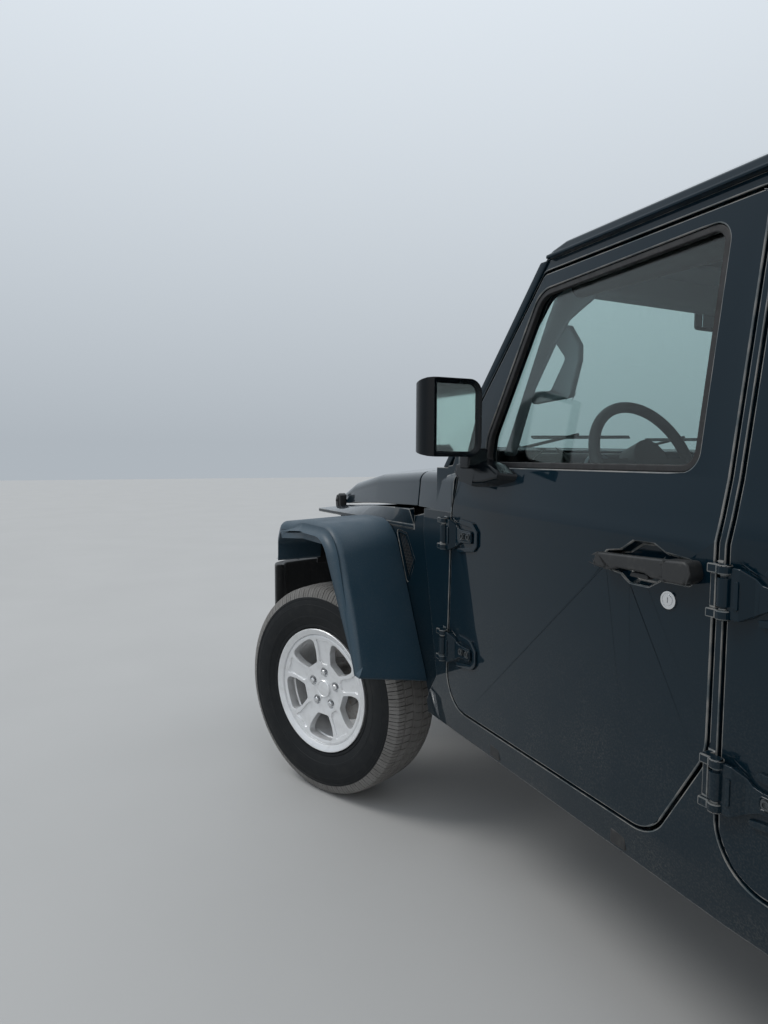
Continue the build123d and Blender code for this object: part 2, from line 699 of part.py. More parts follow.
def swing_gate():
    outline = [(-GATE_HALF, GATE_LOW, 30), (GATE_HALF, GATE_LOW, 30), (GATE_HALF, GATE_HIGH, 12),
               (-GATE_HALF, GATE_HIGH, 12)]
    panel = cross_prism(outline, row_x(GATE_FRONT), row_x(GATE_REAR))
    carrier = block(row_x(GATE_REAR + 22), row_x(GATE_REAR), SPARE_Y - 150, SPARE_Y + 150, 900,
                    1190)
    post = rod((row_x(GATE_REAR), SPARE_Y, SPARE_Z),
               (row_x(SPARE_BEHIND + RIM_PAD - SEAT_GAP), SPARE_Y, SPARE_Z), 58)
    gate = joined([panel, carrier, post])
    x = row_x(GATE_PIN_BEHIND)
    for z in GATE_HINGE_HEIGHTS:
        barrel = Pos(x, GATE_PIN_Y, z) * Cylinder(HINGE_BARREL_RADIUS, 2 * DOOR_BARREL_HALF)
        strap = block(x - 6, x + 6, GATE_PIN_Y, GATE_PIN_Y + 60, z - 22, z + 22)
        strap += block(row_x(GATE_REAR + 24), row_x(GATE_REAR), GATE_PIN_Y + 44, GATE_PIN_Y + 200,
                       z - 22, z + 22)
        gate += barrel + strap
    gate -= Pos(x, GATE_PIN_Y, 900) * Cylinder(HINGE_PIN_RADIUS + RUNNING_CLEARANCE, 1400)
    handle = block(row_x(GATE_REAR + 30), row_x(GATE_REAR), 470, 540, 960, 1010)
    return gate + handle


def gate_hinge_leaves():
    """body half of the gate hinges, on the right rear corner"""
    x = row_x(GATE_PIN_BEHIND)
    parts = []
    for z in GATE_HINGE_HEIGHTS:
        leaf = Pos(x, GATE_PIN_Y, z) * Cylinder(HINGE_PIN_RADIUS, 2 * BODY_BARREL_END)
        for low in (-BODY_BARREL_END, BODY_BARREL_START):
            high = low + BODY_BARREL_END - BODY_BARREL_START
            leaf += Pos(x, GATE_PIN_Y, z + (low + high) / 2) * Cylinder(HINGE_BARREL_RADIUS,
                                                                       high - low)
            leaf += block(x - 6, row_x(REAR_WALL), GATE_PIN_Y - 22, GATE_PIN_Y - 2, z + low,
                          z + high)
        leaf += block(x + 14, row_x(REAR_WALL), GATE_PIN_Y - 26, GATE_PIN_Y - 8,
                      z - BODY_BARREL_END, z + BODY_BARREL_END)
        parts.append(leaf)
    return parts


# Front fender and flares: place behind the axle, height, corner radius
FLARE_INNER_Y = 672.0
FRONT_FLARE_OUTER = [(-462, 827, 16), (-458, 940, 50), (-250, 1018, 300), (60, 1049, 300),
                     (345, 1050, 165), (562, 585, 8), (515, 585, 8), (318, 1003, 130),
                     (60, 1003, 300), (-240, 974, 300), (-408, 912, 40), (-416, 827, 16)]
FRONT_FLARE_ROOT = [(-462, 830, 16), (-458, 952, 50), (-250, 1030, 300), (60, 1062, 300),
                    (278, 1062, 165), (530, 530, 8), (490, 530, 8), (262, 1015, 130),
                    (60, 1015, 300), (-240, 985, 300), (-408, 920, 40), (-416, 830, 16)]
# The front flare's outer side turns inwards in plan towards its front end
FLARE_TURN = [(-500, 850, 0), (-180, FLARE_HALF_WIDTH + 4, 320), (700, FLARE_HALF_WIDTH + 4, 0),
              (700, 600, 0), (-500, 600, 0)]
REAR_FLARE_OUTER = [(-560, 585, 10), (-385, 985, 120), (365, 985, 150), (520, 640, 10),
                    (480, 630, 8), (338, 945, 110), (-358, 945, 90), (-515, 585, 8)]


def flare(root, lip, axle_behind, inner_y):
    """a wheel-arch flare between its root outline at the body and its outer outline"""
    faces = []
    for corners, y in ((root, inner_y), (lip, FLARE_HALF_WIDTH)):
        wire = outline_wire(corners, lambda b, z: Vector(row_x(axle_behind + b), y, z))
        faces.append(Face(wire))
    return loft(faces, ruled=True)


FENDER_SIDE_Y = 655.0
VENT = [(300, 1030, 12), (373, 1020, 12), (436, 930, 12), (384, 838, 10)]


HOOD_GAP = 7.0
FENDER_LOW_Z = 1040.0
FENDER_OUTER = [(-505, 575), (-440, 672), (0, 672), (430, 672)]     # behind, outer y


def hood_edge(behind):
    """half width and height of the hood's lower edge"""
    for first, last in zip(HOOD_STATIONS, HOOD_STATIONS[1:]):
        if behind <= last[0]:
            break
    share = (behind - first[0]) / (last[0] - first[0])
    return [first[i] + share * (last[i] - first[i]) for i in (1, 2)]


def fender_shoulder():
    """the solid strip between the hood's lower edge and the root of the flare"""
    faces = []
    for behind, outer in FENDER_OUTER:
        half, edge = hood_edge(behind)
        inner = half + HOOD_GAP
        points = [(inner, FENDER_LOW_Z), (inner, edge - HOOD_GAP), (inner + 22, edge - HOOD_GAP - 3),
                  (outer, FENDER_LOW_Z + 14), (outer, FENDER_LOW_Z)]
        faces.append(Face(Wire.make_polygon([Vector(row_x(behind), y, z) for y, z in points],
                                            close=True)))
    return loft(faces, ruled=True)


def front_fender():
    """shoulder strip with its hood catch, and the recessed side panel with its vent"""
    top = fender_shoulder()
    side = side_prism([(262, 1052, 0), (562, 1112, 0), (548, 1036, 30), (646, 590, 16),
                       (570, 486, 0), (535, 486, 0), (380, 820, 0), (262, FENDER_LOW_Z, 0)],
                      FENDER_SIDE_Y, FENDER_SIDE_Y + SHEET)
    side -= side_prism(VENT, 600, 700)
    side += side_prism(VENT, FENDER_SIDE_Y, FENDER_SIDE_Y + 6)
    catch = block(row_x(-525), row_x(-485), 520, 545, 1045, 1100)
    panel = top + side + catch
    step = side_prism([(548, 1112, 0), (562, 1112, 0), (556, 1040, 38), (653, 592, 18),
                       (575, 486, 0), (561, 486, 0), (636, 590, 18), (543, 1040, 38)], 622, 668)
    return panel + step


def wheel_liner():
    """black inner arch over the front wheel, closed towards the engine"""
    arch = [(-470, 800, 0), (-458, 948, 60), (-300, 1020, 60), (300, 1000, 60), (520, 500, 0),
            (505, 500, 0), (292, 988, 50), (-297, 1008, 50), (-446, 940, 50), (-458, 800, 0)]
    shell = side_prism(arch, 428, FENDER_SIDE_Y - SEAT_GAP)
    ahead = side_prism(arch, 640, FLARE_INNER_Y - SEAT_GAP)
    ahead &= block(row_x(255), row_x(-600), 600, 700, 700, 1100)
    inner = side_prism([(-460, 800, 0), (-446, 946, 50), (-300, 1014, 50), (300, 994, 50),
                        (400, 780, 0), (-400, 780, 0)], 420, 430)
    return joined([shell, ahead, inner])


FRONT_BUMPER_PLAN = [(row_x(-735), 0, 0), (row_x(-735), 430, 60), (row_x(-690), 700, 60),
                     (row_x(-585), 835, 60), (row_x(-505), 858, 0), (row_x(-505), 815, 0),
                     (row_x(-560), 790, 30), (row_x(-620), 640, 30), (row_x(-645), 430, 0),
                     (row_x(-645), 0, 0)]
BUMPER_LOW = 540.0
BUMPER_HIGH = 798.0
TOW_EYE_RADIUS = 24.0
TOW_EYE_THICK = 22.0
TOW_EYE_Y = 385.0
TOW_EYE_X = row_x(-690)
TOW_EYE_Z = BUMPER_HIGH + 36.0
PLATE_HOLE_RADIUS = 3.5
PLATE_HOLE_SPACING = 178.0
PLATE_HOLE_Z = 700.0
FOG_LAMP_Y = 600.0
FOG_LAMP_RADIUS = 48.0


def front_bumper():
    half = plan_prism(FRONT_BUMPER_PLAN, BUMPER_LOW, BUMPER_HIGH)
    bumper = half + on_right(half)
    bumper -= block(row_x(-760), row_x(-715), -400, 400, 560, 640)
    for side in (1, -1):
        eye = rod((TOW_EYE_X, side * TOW_EYE_Y - TOW_EYE_THICK / 2, TOW_EYE_Z),
                  (TOW_EYE_X, side * TOW_EYE_Y + TOW_EYE_THICK / 2, TOW_EYE_Z), TOW_EYE_RADIUS + 14)
        eye += block(TOW_EYE_X - 30, TOW_EYE_X + 20, side * TOW_EYE_Y - TOW_EYE_THICK / 2,
                     side * TOW_EYE_Y + TOW_EYE_THICK / 2, BUMPER_HIGH - 20, TOW_EYE_Z - 20)
        eye -= rod((TOW_EYE_X, side * TOW_EYE_Y - 50, TOW_EYE_Z),
                   (TOW_EYE_X, side * TOW_EYE_Y + 50, TOW_EYE_Z), TOW_EYE_RADIUS)
        bumper += eye
        bumper -= rod((row_x(-640), side * FOG_LAMP_Y, 670), (row_x(-800), side * FOG_LAMP_Y, 670),
                      FOG_LAMP_RADIUS + 0.5)
        bumper -= rod((row_x(-780), side * PLATE_HOLE_SPACING / 2, PLATE_HOLE_Z),
                      (row_x(-715), side * PLATE_HOLE_SPACING / 2, PLATE_HOLE_Z),
                      PLATE_HOLE_RADIUS)
    return bumper


GRILLE_FRONT = row_x(-575)
GRILLE_REAR = row_x(-520)
SLOTS = 9
SLOT_PITCH = 56.0
SLOT_WIDTH = 36.0
HEAD_LAMP_Y = 390.0
HEAD_LAMP_Z = 925.0
HEAD_LAMP_RADIUS = 89.0


def grille():
    plate = cross_prism([(-505, 700, 40), (505, 700, 40), (505, 1030, 30), (470, 1054, 20),
                         (-470, 1054, 20), (-505, 1030, 30)], GRILLE_FRONT, GRILLE_REAR)
    for i in range(SLOTS):
        y = (i - (SLOTS - 1) / 2) * SLOT_PITCH
        slot = [(y - SLOT_WIDTH / 2, 770, 17), (y + SLOT_WIDTH / 2, 770, 17),
                (y + SLOT_WIDTH / 2, 1015, 17), (y - SLOT_WIDTH / 2, 1015, 17)]
        plate -= cross_prism(slot, GRILLE_FRONT + 20, GRILLE_REAR - 20)
    for side in (1, -1):
        plate -= rod((GRILLE_REAR - 20, side * HEAD_LAMP_Y, HEAD_LAMP_Z),
                     (GRILLE_FRONT + 20, side * HEAD_LAMP_Y, HEAD_LAMP_Z), HEAD_LAMP_RADIUS)
    return plate


def radiator():
    """radiator pack behind the grille, standing on the front cross member"""
    return block(row_x(-465), GRILLE_REAR, -300, 300, 652, 1040)


def lamps():
    """head and fog lamps in front, tail lamps on the rear corners"""
    found = []
    for side in (1, -1):
        y = side * HEAD_LAMP_Y
        found.append(rod((GRILLE_REAR, y, HEAD_LAMP_Z), (GRILLE_FRONT + 6, y, HEAD_LAMP_Z),
                         HEAD_LAMP_RADIUS))
        y = side * FOG_LAMP_Y
        found.append(rod((row_x(-650), y, 670), (row_x(-698), y, 670), FOG_LAMP_RADIUS))
        tail = block(row_x(REAR_WALL + 44), row_x(REAR_WALL), 645, 765, 860, 1110)
        found.append(tail if side == 1 else on_right(tail))
    return found


def rear_bumper():
    front, bend, rear = (row_x(REAR_WALL + ahead) for ahead in (25, 155, 215))
    bumper = plan_prism([(rear, -560, 40), (bend, -790, 40), (front, -800, 20), (front, 800, 20),
                         (bend, 790, 40), (rear, 560, 40)], 455, 622)
    bumper -= block(rear - 10, row_x(RECEIVER_END), -300, 300, 480, 575)
    bumper -= block(rear - 10, front + 60, -32, 32, 488, 552)
    return bumper


# Ladder frame: behind, y, z
RAIL = [(-645, 385, 600), (-480, 385, 615), (-250, 385, 690), (200, 385, 690), (420, 388, 522),
        (560, 392, 520), (740, CABIN_RAIL_Y, 520), (WHEELBASE - 568, CABIN_RAIL_Y, 520),
        (WHEELBASE - 288, CABIN_RAIL_Y, 690), (WHEELBASE + 252, CABIN_RAIL_Y, 690),
        (WHEELBASE + 412, CABIN_RAIL_Y, 600), (WHEELBASE + 592, CABIN_RAIL_Y, 545),
        (REAR_WALL + 25, CABIN_RAIL_Y, 545)]
# Cross members: behind, half length, z, height
CROSS_MEMBERS = [(-605, 360, 600, 70), (-490, 360, 622, 60), (760, 445, 507, 36),
                 (1480, 445, 540, 46), (WHEELBASE - 718, 445, 540, 60),
                 (WHEELBASE - 268, 445, 700, 50), (REAR_WALL - 35, 445, 545, 80)]
MOUNT_PLACES = [800, 1600, WHEELBASE - 608]
CARGO_MOUNT_PLACES = [WHEELBASE - 158, WHEELBASE + 192]
FRONT_DAMPER_BEHIND = 110.0
REAR_DAMPER_AHEAD = 83.0
FRONT_LINK_BEHIND = 620.0
REAR_LINK_BEHIND = WHEELBASE - 643
RECEIVER_END = REAR_WALL + 170
RECEIVER_INSIDE = 50.8


def ladder_frame():
    rail = beam(RAIL, RAIL_WIDTH, RAIL_HEIGHT)
    parts = [rail, on_right(rail)]
    for behind, half, z, height in CROSS_MEMBERS:
        parts.append(block(row_x(behind + 35), row_x(behind - 35), -half, half, z - height / 2,
                           z + height / 2))
    for side in (1, -1):
        for behind in MOUNT_PLACES:
            top = FLOOR_Z - SHEET
            parts.append(Pos(row_x(behind), side * CABIN_RAIL_Y, (top + 560) / 2)
                         * Cylinder(28, top - 560))
        for behind in CARGO_MOUNT_PLACES:
            top = CARGO_FLOOR_Z - SHEET
            parts.append(Pos(row_x(behind), side * CABIN_RAIL_Y, (top + 730) / 2)
                         * Cylinder(28, top - 730))
        for behind, inner, outer, half, low, high in (
                (FRONT_DAMPER_BEHIND, 275, 360, 30, 724, 742),
                (WHEELBASE - REAR_DAMPER_AHEAD, 380, 445, 30, 724, 742),
                (FRONT_LINK_BEHIND, 352, 440, 35, 420, 490),
                (REAR_LINK_BEHIND, 420, 448, 35, 410, 490)):
            parts.append(block(row_x(behind + half), row_x(behind - half), side * inner,
                               side * outer, low, high))
    receiver = block(row_x(RECEIVER_END), row_x(REAR_WALL), -32, 32, 488, 552)
    parts.append(receiver)
    parts.append(block(row_x(REAR_WALL + 25), row_x(REAR_WALL - 35), -32, 32, 520, 580))
    frame = joined(parts)
    half = RECEIVER_INSIDE / 2
    frame -= block(row_x(RECEIVER_END + 15), row_x(REAR_WALL + 45), -half, half, 520 - half,
                   520 + half)
    return frame


TUNNEL_HALF = 190.0
TUNNEL_TOP = 745.0
CARGO_FLOOR_Z = 775.0
CARGO_FRONT = WHEELBASE - 588
CARGO_REAR = GATE_FRONT - 8.0


def floor_pan():
    """floor sheet with its tunnel, the raised cargo floor and the rear wheel boxes"""
    def sheet(front, rear, z):
        wall = side_slab(front, rear, [(DOOR_THICK, z - SHEET), (900, z - SHEET), (900, z),
                                       (DOOR_THICK, z)])
        half = wall & block(row_x(rear), row_x(front), 0, 1000, 0, 2000)
        return half + on_right(half)
    front_x, rear_x = row_x(FIREWALL), row_x(TUNNEL_REAR)
    low = sheet(FIREWALL + SHEET, CARGO_FRONT, FLOOR_Z)
    low -= block(rear_x, front_x, -TUNNEL_HALF, TUNNEL_HALF, 500, 700)
    tunnel = block(rear_x, front_x, -TUNNEL_HALF - SHEET, TUNNEL_HALF + SHEET,
                   FLOOR_Z - SHEET, TUNNEL_TOP + SHEET)
    tunnel -= block(rear_x + SHEET, front_x, -TUNNEL_HALF, TUNNEL_HALF, 500, TUNNEL_TOP)
    riser_half = half_width(CARGO_FRONT) - DOOR_THICK
    riser = block(row_x(CARGO_FRONT + SHEET), row_x(CARGO_FRONT), -riser_half, riser_half,
                  FLOOR_Z - SHEET, CARGO_FLOOR_Z)
    cargo = sheet(CARGO_FRONT, CARGO_REAR, CARGO_FLOOR_Z)
    box_front, box_rear = row_x(WHEELBASE - 448), row_x(WHEELBASE + 442)
    outer = block(box_rear, box_front, 560, 690, CARGO_FLOOR_Z - SHEET, 930)
    inner = block(box_rear + SHEET, box_front - SHEET, 560 + SHEET, 700, 500, 930 - SHEET)
    rear_wall = block(row_x(CARGO_REAR), row_x(CARGO_REAR - SHEET), -GATE_OPENING, GATE_OPENING,
                      605, CARGO_FLOOR_Z - 5)
    sill = block(row_x(REAR_WALL), row_x(CARGO_REAR - 5), -GATE_OPENING, GATE_OPENING, 605,
                 GATE_LOW - 8)
    pan = joined([low, tunnel, riser, cargo, outer, on_right(outer), rear_wall, sill])
    pan -= inner
    pan -= on_right(inner)
    return pan


def engine():
    """engine, gearbox and transfer case as one plain block"""
    motor = block(row_x(330), row_x(-330), -240, 240, 560, 985)
    gearbox = block(row_x(1180), row_x(330), -150, 150, 530, 715)
    transfer = block(row_x(1380), row_x(1180), -250, 120, 420, 575)
    return joined([motor, gearbox, transfer])


# Axles
AXLE_TUBE_RADIUS = 38.0
YOKE_WEB_IN = 83.5         # from the kingpin in to the end of the axle tube
YOKE_GAP = 75.0
YOKE_THICK = 26.0
FRONT_DIFF_Y = -205.0
SPRING_RADIUS = 54.0
SPRING_SEAT_Z = 455.0
RAIL_ARCH_BOTTOM = 690.0 - RAIL_HEIGHT / 2
DAMPER_RADIUS = 26.0


def axle_seats(axle_x, spring_y, damper_y, damper_x):
    """spring pads and damper brackets on an axle, both sides"""
    parts = []
    for side in (1, -1):
        y = side * spring_y
        parts.append(Pos(axle_x, y, (AXLE_Z + SPRING_SEAT_Z) / 2)
                     * Cylinder(SPRING_RADIUS + 6, SPRING_SEAT_Z - AXLE_Z))
        parts.append(block(damper_x - 22, axle_x, side * damper_y - 26, side * damper_y + 26,
                           AXLE_Z - 20, AXLE_Z + 20))
        parts.append(block(axle_x - 30, axle_x + 30, y - 24, y + 24, AXLE_Z - 75, AXLE_Z))
    return parts


def front_axle():
    end = KINGPIN_Y - YOKE_WEB_IN
    tube = rod((FRONT_AXLE_X, -end, AXLE_Z), (FRONT_AXLE_X, end, AXLE_Z), AXLE_TUBE_RADIUS)
    ball = Pos(FRONT_AXLE_X - 15, FRONT_DIFF_Y, AXLE_Z) * Sphere(100)
    nose = rod((FRONT_AXLE_X, FRONT_DIFF_Y, AXLE_Z), (FRONT_AXLE_X - 150, FRONT_DIFF_Y, AXLE_Z), 45)
    parts = [tube, ball, nose] + axle_seats(FRONT_AXLE_X, 385, 315,
                                            FRONT_AXLE_X - FRONT_DAMPER_BEHIND)
    for side in (1, -1):
        y = side * KINGPIN_Y
        web = block(FRONT_AXLE_X - 32, FRONT_AXLE_X + 32, y - side * 96, y - side * 70,
                    AXLE_Z - YOKE_GAP - YOKE_THICK, AXLE_Z + YOKE_GAP + YOKE_THICK)
        parts.append(web)
        for low in (-YOKE_GAP - YOKE_THICK, YOKE_GAP):
            arm = block(FRONT_AXLE_X - 32, FRONT_AXLE_X + 32, y - side * 90, y,
                        AXLE_Z + low, AXLE_Z + low + YOKE_THICK)
            arm += Pos(FRONT_AXLE_X, y, AXLE_Z + low + YOKE_THICK / 2) * Cylinder(32, YOKE_THICK)
            parts.append(arm)
    axle = joined(parts)
    for side in (1, -1):
        axle -= Pos(FRONT_AXLE_X, side * KINGPIN_Y, AXLE_Z) * Cylinder(
            KINGPIN_RADIUS + RUNNING_CLEARANCE, 300)
    return axle


REAR_TUBE_END = TRACK / 2 - 78.0


def caliper(direction):
    """a brake caliper astride the disc; origin at the wheel centre, +Y outboard"""
    body = block(direction * 165, direction * 112, -80, -8, -58, 58)
    return body - block(direction * 156, direction * 60, -64, -24, -90, 90)


def rear_axle():
    tube = rod((REAR_AXLE_X, -REAR_TUBE_END, AXLE_Z), (REAR_AXLE_X, REAR_TUBE_END, AXLE_Z), 41)
    ball = Pos(REAR_AXLE_X, 0, AXLE_Z) * Sphere(125)
    nose = rod((REAR_AXLE_X, 0, AXLE_Z), (REAR_AXLE_X + 185, 0, AXLE_Z + 14), 50)
    parts = [tube, ball, nose] + axle_seats(REAR_AXLE_X, 470, 410, REAR_AXLE_X + 105)
    hub = TRACK / 2
    for side in (1, -1):
        parts.append(rod((REAR_AXLE_X, side * (hub - 96), AXLE_Z),
                         (REAR_AXLE_X, side * (hub - 80), AXLE_Z), 66))
        parts.append(rod((REAR_AXLE_X, side * (hub - 90), AXLE_Z),
                         (REAR_AXLE_X, side * (hub + 38), AXLE_Z), SPINDLE_RADIUS))
        link = block(REAR_AXLE_X - 150, REAR_AXLE_X, side * (hub - 94), side * (hub - 80),
                     AXLE_Z - 40, AXLE_Z + 40)
        grip = Pos(REAR_AXLE_X, hub, AXLE_Z) * caliper(-1)
        parts += [link, grip if side == 1 else on_right(grip)]
    return joined(parts)


def coil_springs():
    found = []
    for axle_x, y in ((FRONT_AXLE_X, 385), (REAR_AXLE_X, 470)):
        for side in (1, -1):
            middle = (SPRING_SEAT_Z + RAIL_ARCH_BOTTOM) / 2
            height = RAIL_ARCH_BOTTOM - SPRING_SEAT_Z
            tube = Pos(axle_x, side * y, middle) * Cylinder(SPRING_RADIUS, height)
            found.append(tube - Pos(axle_x, side * y, middle) * Cylinder(SPRING_RADIUS - 13, 400))
    return found


def dampers():
    found = []
    low = AXLE_Z + 20
    for x, y in ((FRONT_AXLE_X - FRONT_DAMPER_BEHIND, 315),
                 (REAR_AXLE_X + REAR_DAMPER_AHEAD, 412)):
        for side in (1, -1):
            body = rod((x, side * y, low), (x, side * y, low + 190), DAMPER_RADIUS - 4)
            shaft = rod((x, side * y, low + 180), (x, side * y, 724), 10)
            found.append(body + shaft)
    return found


def link_arms():
    """lower arms from the axle brackets to the frame brackets"""
    found = []
    for side in (1, -1):
        found.append(rod((FRONT_AXLE_X - 30, side * 385, AXLE_Z - 55),
                         (row_x(FRONT_LINK_BEHIND - 35), side * 372, 445), 19))
        found.append(rod((REAR_AXLE_X + 30, side * 470, AXLE_Z - 55),
                         (row_x(REAR_LINK_BEHIND), side * 450, 410 - 19), 19))
    return found


def drive_shafts():
    rear = rod((row_x(1380), 0, 468), (REAR_AXLE_X + 185, 0, AXLE_Z + 14), 36)
    front = rod((row_x(1180), FRONT_DIFF_Y, 455), (FRONT_AXLE_X - 150, FRONT_DIFF_Y, AXLE_Z), 27)
    return rear, front


def fuel_tank():
    """tank that hangs against the left rail"""
    outer = CABIN_RAIL_Y - RAIL_WIDTH / 2 - SEAT_GAP
    rear, front = row_x(WHEELBASE - 768), row_x(1530)
    return plan_prism([(rear, 75, 50), (rear, outer, 50), (front, outer, 50), (front, 75, 50)],
                      395, 560)


EXHAUST_ROUTE = [(300, -267.1, 640), (480, -300, 470), (760, -302, 430),
                 (WHEELBASE - 808, -302, 430), (WHEELBASE - 368, -250, 565),
                 (WHEELBASE + 242, -250, 565), (WHEELBASE + 472, -250, 560)]


def exhaust():
    points = [Vector(row_x(b), y, z) for b, y, z in EXHAUST_ROUTE]
    path = FilletPolyline(*points, radius=110)
    start = Plane(origin=path @ 0, z_dir=path % 0)
    pipe = sweep(start * Circle(27), path=path)
    muffler_x = row_x(WHEELBASE + 517)
    muffler = rod((muffler_x, -400, 560), (muffler_x, 300, 560), 85)
    return joined([pipe, muffler])


# Cabin
SEAT_Y = 362.0
SEAT_HALF = 230.0
WHEEL_CENTRE = (1150.0, 362.0, 1268.0)
WHEEL_RADIUS = 188.0
COLUMN_TILT_DEG = 24.0
COLUMN_RADIUS = 16.0


def front_seats():
    found = []
    for side in (1, -1):
        low, high = side * SEAT_Y - SEAT_HALF, side * SEAT_Y + SEAT_HALF
        base = block(row_x(1850), row_x(1480), low + 60, high - 50, FLOOR_Z, 780)
        cushion = side_prism([(1400, 775, 30), (1400, 880, 50), (1900, 850, 30), (1900, 755, 30)],
                             low, high)
        back = side_prism([(1830, 800, 30), (1950, 1370, 40), (2060, 1370, 40), (1970, 790, 40)],
                          low, high)
        rest = side_prism([(1968, 1395, 30), (1990, 1560, 40), (2070, 1560, 40), (2062, 1395, 30)],
                          side * SEAT_Y - 120, side * SEAT_Y + 120)
        neck = block(row_x(2030), row_x(2000), side * SEAT_Y - 60, side * SEAT_Y + 60, 1350, 1420)
        found.append(joined([base, cushion, back, neck, rest]))
    return found


def rear_seat():
    front = WHEELBASE - 818
    base = block(row_x(front + 225), row_x(front + 140), -500, 500, FLOOR_Z, 790)
    cushion = side_prism([(front, 780, 30), (front, 890, 50), (front + 460, 870, 30),
                          (front + 460, CARGO_FLOOR_Z, 0)], -550, 550)
    back = side_prism([(front + 400, 850, 30), (front + 500, 1340, 40), (front + 600, 1340, 40),
                       (front + 560, 850, 20), (front + 550, CARGO_FLOOR_Z, 0),
                       (front + 450, CARGO_FLOOR_Z, 0)], -550, 550)
    return joined([base, cushion, back])


CONSOLE_FRONT = 1112.0
CONSOLE_REAR = 1880.0
CONSOLE_TOP = 900.0
CONSOLE_HALF = 115.0


def dashboard():
    """dash panel, gauge hood, centre stack and the steering column shaft"""
    body = side_prism([(752, 900, 0), (752, 1205, 0), (820, 1232, 40), (1010, 1238, 50),
                       (1085, 1150, 40), (1060, 930, 50), (900, 850, 60)], -560, 560)
    hood_cut = side_prism([(890, 1210, 0), (900, 1300, 30), (1040, 1300, 30), (1075, 1180, 0)],
                          WHEEL_CENTRE[1] - 180, WHEEL_CENTRE[1] + 180)
    stack = side_prism([(1010, TUNNEL_TOP + SHEET, 0), (1010, 980, 0), (CONSOLE_FRONT, 930, 0),
                        (CONSOLE_FRONT, TUNNEL_TOP + SHEET, 0)], -CONSOLE_HALF, CONSOLE_HALF)
    tilt = math.radians(COLUMN_TILT_DEG)
    centre = Vector(row_x(WHEEL_CENTRE[0]), WHEEL_CENTRE[1], WHEEL_CENTRE[2])
    along = Vector(-math.cos(tilt), 0, math.sin(tilt))
    column = rod(centre - along * 260, centre - along * 45, 32)
    shaft = rod(centre - along * 60, centre + along * 8, COLUMN_RADIUS)
    brace = block(row_x(760), row_x(FIREWALL + SHEET), -450, 450, 1010, 1070)
    return joined([body, hood_cut, stack, column, shaft, brace])


def console():
    """the centre console between the front seats, astride the tunnel"""
    front = CONSOLE_FRONT + SEAT_GAP
    return side_prism([(front, TUNNEL_TOP + SHEET, 0), (front, CONSOLE_TOP, 0),
                       (CONSOLE_REAR, CONSOLE_TOP, 30), (CONSOLE_REAR, FLOOR_Z, 0),
                       (TUNNEL_REAR, FLOOR_Z, 0), (TUNNEL_REAR, TUNNEL_TOP + SHEET, 0)],
                      -CONSOLE_HALF, CONSOLE_HALF)


def steering_wheel():
    tilt = math.radians(COLUMN_TILT_DEG)
    centre = Vector(row_x(WHEEL_CENTRE[0]), WHEEL_CENTRE[1], WHEEL_CENTRE[2])
    along = Vector(-math.cos(tilt), 0, math.sin(tilt))
    plane = Plane(origin=centre, x_dir=(0, 1, 0), z_dir=along)
    rim = plane * Torus(WHEEL_RADIUS - 15, 15)
    hub = plane * (Pos(0, 0, -4) * Cylinder(62, 60))
    parts = [rim, hub]
    for angle in (0, 180, 270 if plane.y_dir.Z > 0 else 90):
        spoke = Rot(0, 0, angle) * (Pos(WHEEL_RADIUS / 2, 0, -4) * Box(WHEEL_RADIUS - 30, 34, 16))
        parts.append(plane * spoke)
    wheel = joined(parts)
    bore = rod(centre - along * 60, centre + along * 10, COLUMN_RADIUS + RUNNING_CLEARANCE)
    return wheel - bore


SPORT_TUBE = 27.0
HOOP_PLACE = 1770.0
HOOP_HALF = 632.0
HOOP_BEND = 78.0
SPORT_RAIL_Y = 590.0


def bent_tube(points, radius, bend):
    path = FilletPolyline(*points, radius=bend)
    start = Plane(origin=path @ 0, z_dir=path % 0)
    return sweep(start * Circle(radius), path=path)


def sport_bar():
    """padded roll structure: a hoop, two side rails and the rear legs"""
    x = row_x(HOOP_PLACE)
    hoop = bent_tube([Vector(x, -HOOP_HALF, FLOOR_Z), Vector(x, -HOOP_HALF + 6, 1712),
                      Vector(x, HOOP_HALF - 6, 1712), Vector(x, HOOP_HALF, FLOOR_Z)],
                     SPORT_TUBE, HOOP_BEND)
    parts = [hoop]
    for side in (1, -1):
        y = side * SPORT_RAIL_Y
        front = Vector(row_x(1128), y, 1718)
        middle = Vector(x, y, 1712)
        parts.append(rod(front, middle, SPORT_TUBE))
        parts.append(bent_tube([middle, Vector(row_x(WHEELBASE - 268), y, 1700),
                                Vector(row_x(WHEELBASE + 112), side * 622, 930)], SPORT_TUBE, 120))
    rear_bar_x = row_x(WHEELBASE - 388)
    parts.append(rod((rear_bar_x, -SPORT_RAIL_Y, 1702), (rear_bar_x, SPORT_RAIL_Y, 1702),
                     SPORT_TUBE))
    return joined(parts)


def mirror_head():
    """left door mirror: housing, foot and arm"""
    housing = plan_prism([(row_x(840), 748, 26), (row_x(838), 925, 40), (row_x(925), 932, 12),
                          (row_x(930), 748, 12)], 1292, 1492)
    foot = block(row_x(945), row_x(845), half_width(900) - 26, 775, 1215, 1262)
    arm = block(row_x(905), row_x(865), 748, 790, 1250, 1300)
    slab = side_slab(700, 1100, wall_section())
    return joined([housing, foot, arm]) - slab


# Wheel ends: origin at the wheel centre, +Y outboard
def spoke_window(angle):
    """one opening of the rim face between two spokes"""
    corners = [(102, -27, 12), (140, -51, 24), (182, -66, 20), (193, 0, 230), (182, 66, 20),
               (140, 51, 24), (102, 27, 12)]
    wire = outline_wire(corners, lambda u, v: Vector(u, 0, v))
    hole = Solid.extrude(Face(wire), Vector(0, 200, 0))
    return Rot(0, angle, 0) * hole


